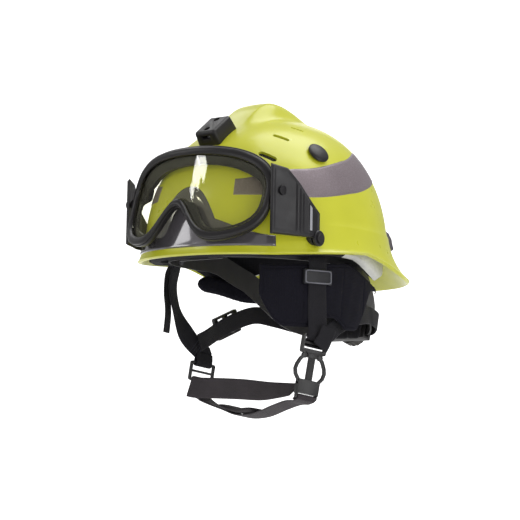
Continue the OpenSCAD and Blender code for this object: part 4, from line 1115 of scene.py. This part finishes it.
def straps():
    left = np.concatenate([curve(SIDE_LEFT + in_buckle(LOCK_WEAVE[:1]), 6), in_buckle(LOCK_WEAVE[1:])])
    across = turning(LEFT_ACROSS, BUCKLE_ACROSS, 0.4, 0.62)
    own(join("front_strap_left", [band("web", left, across, WEB_WIDTH - 3, WEB_THICK, "webbing")]),
        "side_strap_left")

    fold = ring_fold(1)
    right = np.concatenate([curve(SIDE_RIGHT + [fold[0]], 6), fold[1:]])
    across = turning(RIGHT_ACROSS, RING_ACROSS, 0.4, 0.65)
    own(join("front_strap_right", [
        band("web", right, across, WEB_WIDTH - 4, WEB_THICK, "webbing"),
        stitches("sewn", right, across, WEB_WIDTH - 4, 108, 9, 4)]), "side_strap_right")

    tail = curve([[99.4, -45.3, -91], [100.2, -41, -85], [101.4, -38.4, -79], [102.8, -36, -72]], 6)
    own(band("front_tail_left", tail, LEFT_ACROSS, WEB_WIDTH - 6, WEB_THICK, "webbing"), "strap_tail_left")
    tail = curve([[-94.2, -44, -4], [-98.4, -44.5, -13], [-100, -44, -30], [-99.5, -42, -50], [-100.5, -43, -71]], 6)
    own(band("front_tail_right", tail, RIGHT_ACROSS, WEB_WIDTH - 9, WEB_THICK, "webbing"), "strap_tail_right")

    rear = curve([[88.6, -34, -84], [89, -18, -76], [88.2, -2, -66.5], [86, 24, -57.5], [81.8, 46, -53.5],
                  [75, 64, -52.5], [71.6, 76, -53.5], [62, 96, -56],
                  [NAPE_END[0] + 10, NAPE_END[1], NAPE_END[2] + 0.4], NAPE_END], 6)
    own(band("back_strap_left", rear, rear_across(rear), WEB_WIDTH - 5, WEB_THICK, "webbing"), "rear_strap_left")
    start = np.array([NAPE[0], NAPE_END[1], NAPE_END[2]])
    rear = curve([[-84.6, -10, -79.5], [-85.6, 3, -74.4], [-89.6, 21, -67], [-90, 45.6, -56], [-84, 75, -46],
                  [-72, 96, -49], [-48, 110, -56], start - [32, 0, -0.4], start - [22, 0, 0]], 6)
    own(band("back_strap_right", rear, rear_across(rear), WEB_WIDTH - 5, WEB_THICK, "webbing"), "rear_strap_right")

    fold, bar = ring_fold(-1), in_buckle(BAR_FOLD)
    chin = np.concatenate([fold[:0:-1], curve([fold[0]] + CHIN_MAIN + [bar[-1]], 6), bar[-2::-1]])
    across = turning(RING_ACROSS, BUCKLE_ACROSS, 0.2, 0.7)
    own(join("chin_band", [
        band("web", chin, across, WEB_WIDTH - 4, WEB_THICK, "chin_webbing"),
        stitches("sewn", chin, across, WEB_WIDTH - 4, 34, 7, 4)]), "chin_strap")
    tail = curve(CHIN_TAIL, 8)
    own(band("chin_free_end", tail, lambda t: mix(np.array([0, 0.12, 1]), np.array([0.1, 0.8, 0.6]), t * t),
             WEB_WIDTH - 2, WEB_THICK, "chin_webbing"), "chin_strap_tail")

    def arc(front, back, low, high):
        a = np.linspace(0, 180, 60)
        return stack(mix(-front, back, (1 - signed_pow(cos(a), 0.8)) / 2), low + (high - low) * sin(a) ** 0.8)
    p = arc(105, 88, 24, 112)
    own(band("crown_web_long", stack(0 * p[:, 0], p[:, 0], p[:, 1]), [1, 0, 0], WEB_WIDTH, 1.4, "webbing"),
        "crown_strap_long")
    p = arc(87, 87, 24, 114.6)
    own(band("crown_web_cross", stack(p[:, 0], 0 * p[:, 0], p[:, 1]), [0, 1, 0], WEB_WIDTH, 1.4, "webbing"),
        "crown_strap_cross")


straps()


def keeper_piping():
    """Raised pale edge round the front of the keeper that holds the strap to the guard."""
    a = circle(120)
    x, z = 14.2 * signed_pow(cos(a), 0.22), 5.9 * signed_pow(sin(a), 0.22)
    spin = circle(12)
    c, s = cos(71.6), sin(71.6)
    middle = stack(x, -4.3, z)
    out = np.array([0, -1.0, 0])
    side = unit(stack(x / 14.2, 0, z / 5.9))
    ring = middle[:, None] + 0.75 * (side[:, None] * cos(spin)[None, :, None] + out * sin(spin)[None, :, None])
    x, y, z = np.moveaxis(ring, -1, 0)
    turned = stack(92.1 + x * c - y * s, -43.5 + x * s + y * c, -24 + z)
    piping = tube("keeper_piping", turned, "guard_piping", closed=True)
    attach(piping, BODY_OF["guard_loop_left"])


keeper_piping()

# ---------------------------------------------------------------- padded pieces


def swollen(obj, voxel, cap, pressure=4.0):
    """Fills the piece by cloth simulation: its skin is remeshed, blown up and held within cap millimetres."""
    settle(obj, ("REMESH", {"mode": "VOXEL", "voxel_size": voxel * MM, "use_smooth_shade": True}))
    count = len(obj.data.vertices)
    start = np.zeros(count * 3)
    obj.data.vertices.foreach_get("co", start)
    skin = obj.modifiers.new("skin", "CLOTH")
    skin.settings.quality = 6
    skin.settings.mass = 0.2
    skin.settings.tension_stiffness = skin.settings.compression_stiffness = 14
    skin.settings.bending_stiffness = 0.3
    skin.settings.use_pressure = True
    skin.settings.uniform_pressure_force = pressure
    skin.settings.effector_weights.gravity = 0
    skin.point_cache.frame_start, skin.point_cache.frame_end = 1, 20
    for step in range(1, 21):
        bpy.context.scene.frame_set(step)
    solved = obj.evaluated_get(bpy.context.evaluated_depsgraph_get()).to_mesh()
    end = np.zeros(count * 3)
    solved.vertices.foreach_get("co", end)
    move = (end - start).reshape(-1, 3)
    far = np.linalg.norm(move, axis=1, keepdims=True)
    move *= np.minimum(1, cap * MM / np.maximum(far, 1e-9))
    obj.modifiers.clear()
    bpy.context.scene.frame_set(1)
    obj.data.vertices.foreach_set("co", (start.reshape(-1, 3) + move).ravel())
    settle(obj, ("SUBSURF", {"levels": 1}))
    obj.data.shade_smooth()
    return obj


def pressed(obj, groove):
    """Sinks sewn lines into a piece: groove(points in mm) is the depth at each point."""
    count = len(obj.data.vertices)
    co, normal = np.zeros(count * 3), np.zeros(count * 3)
    obj.data.vertices.foreach_get("co", co)
    obj.data.vertices.foreach_get("normal", normal)
    co, normal = co.reshape(-1, 3), normal.reshape(-1, 3)
    co = co - normal * (groove(co / MM) * MM)[:, None]
    obj.data.vertices.foreach_set("co", co.ravel())
    obj.data.update()
    return obj


PAD_SQUASH = 0.86               # share of a pad's thickness before it is blown up


def puffed(name, centre, across, half_thick, width, material, node, channels=0):
    """Pad along a path: crowned section, pinched ends and sewn channels across it."""
    path, s = resampled(centre, 1.6)
    t = s / s[-1]
    _, side, face = path_axes(path, s, across)
    a = circle(40)
    x = signed_pow(cos(a), 0.42)
    y = signed_pow(sin(a), 0.75)
    ends = np.clip(np.minimum(s, s[-1] - s) / 5, 0.02, 1)
    swell = np.sqrt(1 - (1 - ends) ** 2)
    length = s[-1] / (channels + 1)
    if channels:
        from_seam = (0.5 - np.abs(s / length % 1 - 0.5)) * length
        swell = swell * (1 - 0.3 * bell(from_seam, 1.6))
    reach = mix(0.88, 1, swell)
    sections = path[:, None] + side[:, None] * (x * width / 2)[None, :, None] * reach[:, None, None] \
        + face[:, None] * (y * half_thick * PAD_SQUASH)[None, :, None] * swell[:, None, None]
    obj = tube(name, sections, material, smooth=60)
    swollen(obj, 1.6 if half_thick > 2.5 else 1.1, cap=0.5)
    if channels:
        def sewn(p):
            near = ((p[:, None] - path[None]) ** 2).sum(-1).argmin(1)
            off = (s[near] + length / 2) % length - length / 2
            return 0.55 * bell(off, 1.1) * ease(0, 6, np.minimum(s[near], s[-1] - s[near]))
        pressed(obj, sewn)
    own(obj, node)
    return obj


def pads():
    angle = 6.5 * np.linspace(-8, 8, 40)
    brow = stack(80 * sin(angle), -108 + 8.4 + 80 * (1 - cos(angle)) * 1.25, 5 + 0 * angle)
    puffed("brow_cushion", brow, [0, 0, 1], 3.5, 24, "pad_fabric", "brow_pad", channels=5)
    x = np.linspace(-33, 33, 30)
    nape = stack(x + NAPE[0], NAPE[1] - 13 - 0.003 * x * x, NAPE[2] + 0 * x)
    puffed("nape_cushion", nape, [0, sin(15), cos(15)], 4, 32, "pad_fabric", "nape_pad", channels=3)
    chin = curve(np.array(CHIN_MAIN[2:5]) + [0, 0, 4.2], 8)
    puffed("chin_cushion", chin, mix(RING_ACROSS, BUCKLE_ACROSS, 0.4), 2, WEB_WIDTH + 6, "chin_padding",
           "chin_pad")


def crown_cushion():
    """Round pad under the top of the suspension, with one sewn ring."""
    r = np.linspace(0, 24.6, 26)
    a = circle(60)
    bulge = 2.9 * (1 - (r / 25) ** 3.2)
    dome = 106 + bulge - 0.9 * bell(r - 13, 1.1)
    under = 105.9 - bulge
    rings = [stack(q * cos(a), -8 + q * sin(a), z)
             for q, z in list(zip(r, dome))[1:] + list(zip(r, under))[:0:-1]]
    obj = tube("crown_cushion", np.stack(rings), "pad_fabric", smooth=70)
    swollen(obj, 1.6, cap=0.5)
    own(obj, "crown_pad")


GUARD_A, GUARD_B = 98, 118


def guard_low(u):
    """Height of the flap's lower edge."""
    front = np.clip(ease(-36, -58, u), 0, 1) ** 1.5
    return -73 + 44 * front + 10 * ease(-24, -14, u) * ease(0, -10, u) + 43 * ease(6, 26, u)


def guard_high(u):
    return rim_z(u) - 7 - 2 * ease(0, 0.3, sin(u))


def ear_guard_left():
    """Quilted flap: crowned faces pulled in at the bound edge and along sewn lines."""
    n, m = 150, 56
    u = np.linspace(-51.5, 60.5, n)[:, None]
    k = np.linspace(0, 1, m)[None, :]
    low, high = guard_low(u), guard_high(u)
    z = mix(low, high, k)
    run = np.cumsum(np.hypot(np.diff(GUARD_A * cos(u[:, 0]), prepend=GUARD_A * cos(u[0, 0])),
                             np.diff(GUARD_B * sin(u[:, 0]), prepend=GUARD_B * sin(u[0, 0]))))[:, None]
    inward = np.minimum(np.minimum(run, run[-1] - run), np.minimum(k, 1 - k) * (high - low))
    crown_up = np.sqrt(np.clip(1 - (1 - np.clip(inward / 9, 0, 1)) ** 2, 0, 1))
    wrinkle = 0.35 * np.sin(run * 0.31 + z * 0.11) * np.sin(z * 0.23 - run * 0.07) * ease(3, 12, inward)
    thick = mix(4.6, 1.2, ease(26, 36, u))
    outside = -thick * 0.5 + (thick * 0.5 + 0.3) * crown_up + wrinkle
    inside = -thick * 0.5 - thick * 0.42 * crown_up

    def place(off):
        return stack((GUARD_A + off) * cos(u), (GUARD_B + off) * sin(u), z)
    obj = slab("guard_cushion_left", place(outside), place(inside), "guard_fabric", 60)
    swollen(obj, 1.5, cap=0.7, pressure=5)

    def quilting(p):
        """Bound edge, and three lines of quilting that follow the flap's height."""
        turn = np.degrees(np.arctan2(p[:, 1] / GUARD_B, p[:, 0] / GUARD_A))
        bottom, top = guard_low(turn), guard_high(turn)
        along = np.interp(turn, u[:, 0], run[:, 0])
        from_edge = np.min([along - run[0, 0], run[-1, 0] - along, p[:, 2] - bottom, top - p[:, 2]], axis=0)
        depth = 0.8 * bell(from_edge - 4.4, 0.8)
        for at in (46, 92, 128):
            depth += 0.7 * bell(along - at - 0.08 * (p[:, 2] + 40), 1.2) * ease(5, 8, from_edge)
        return depth
    pressed(obj, quilting)
    own(obj, "ear_guard_left")


def ear_guard_right():
    """The folded guard: a roll under the far brim."""
    n, m = 60, 40
    u = np.linspace(181, 136.2, n)[:, None]
    a = circle(m)[None, :]
    round_end = 9 * (1 - np.sqrt(1 - np.clip((u - 173) / 8.1, 0, 1) ** 2))
    drop = 8 * ease(175, 145, u)
    low, high = -27 + round_end - drop, -9 - round_end - drop
    off = -3.25 + 3.1 * signed_pow(cos(a), 0.7)
    z = (low + high) / 2 + (high - low) / 2 * signed_pow(sin(a), 0.6)
    sections = stack((97 + off) * cos(u), (110 + off) * sin(u), z + 0 * off)
    obj = tube("guard_fold_right", sections, "guard_fabric", smooth=60)
    swollen(obj, 1.6, cap=0.6)
    own(obj, "ear_guard_right")


pads()
crown_cushion()
ear_guard_left()
ear_guard_right()

# ---------------------------------------------------------------- lights


def mirror_place(point, normal, away):
    """Where a light stands so that the camera sees it mirrored at that point."""
    normal = Vector(normal).normalized()
    to_camera = (camera_place - Vector(point)).normalized()
    return Vector(point) + (2 * normal.dot(to_camera) * normal - to_camera) * away


def lens_normal(s):
    a = s / LENS_RADIUS
    return Vector((math.sin(a), -math.cos(a), FRAME_LEAN * math.cos(a))).normalized()


def add_glint():
    """Three stacked cards whose mirror image on the lens is one streak that narrows downwards."""
    for s, v, wide in ((18.5, 34, 0.34), (16.5, 20, 0.22), (14.5, 6, 0.11)):
        point = Vector((goggle(s, v, LENS_FRONT) * MM).tolist())
        place = mirror_place(point, lens_normal(s), 1.5)
        add_light("glint_card", place, point, (wide, 0.034), 15 * math.pi * wide * 0.034)


add_glint()
sheen_at = Vector((shell_point(-36, 1.43) * MM).tolist())
add_light("key", mirror_place(sheen_at, shell_normal(-36, 1.43).tolist(), 2.1), sheen_at, (1.7, 1.7), 31)
add_light("top_left", (-1.3, 0.35, 1.6), (0, -0.05, 0.1), (0.7, 0.7), 3.5)
nose_at = Vector((off_shell(-92, 0.75, 1.4) * MM).tolist())
add_light("peak_card", mirror_place(nose_at, shell_normal(-92, 0.75).tolist(), 1.6), nose_at, (0.5, 0.45), 2.6)
add_light("side", (2.0, -0.2, 0.2), (0, 0, 0.02), (0.8, 1.4), 9)
add_light("low_front", (0.4, -1.7, -0.34), (0, -0.1, 0.02), (1.2, 0.4), 4)
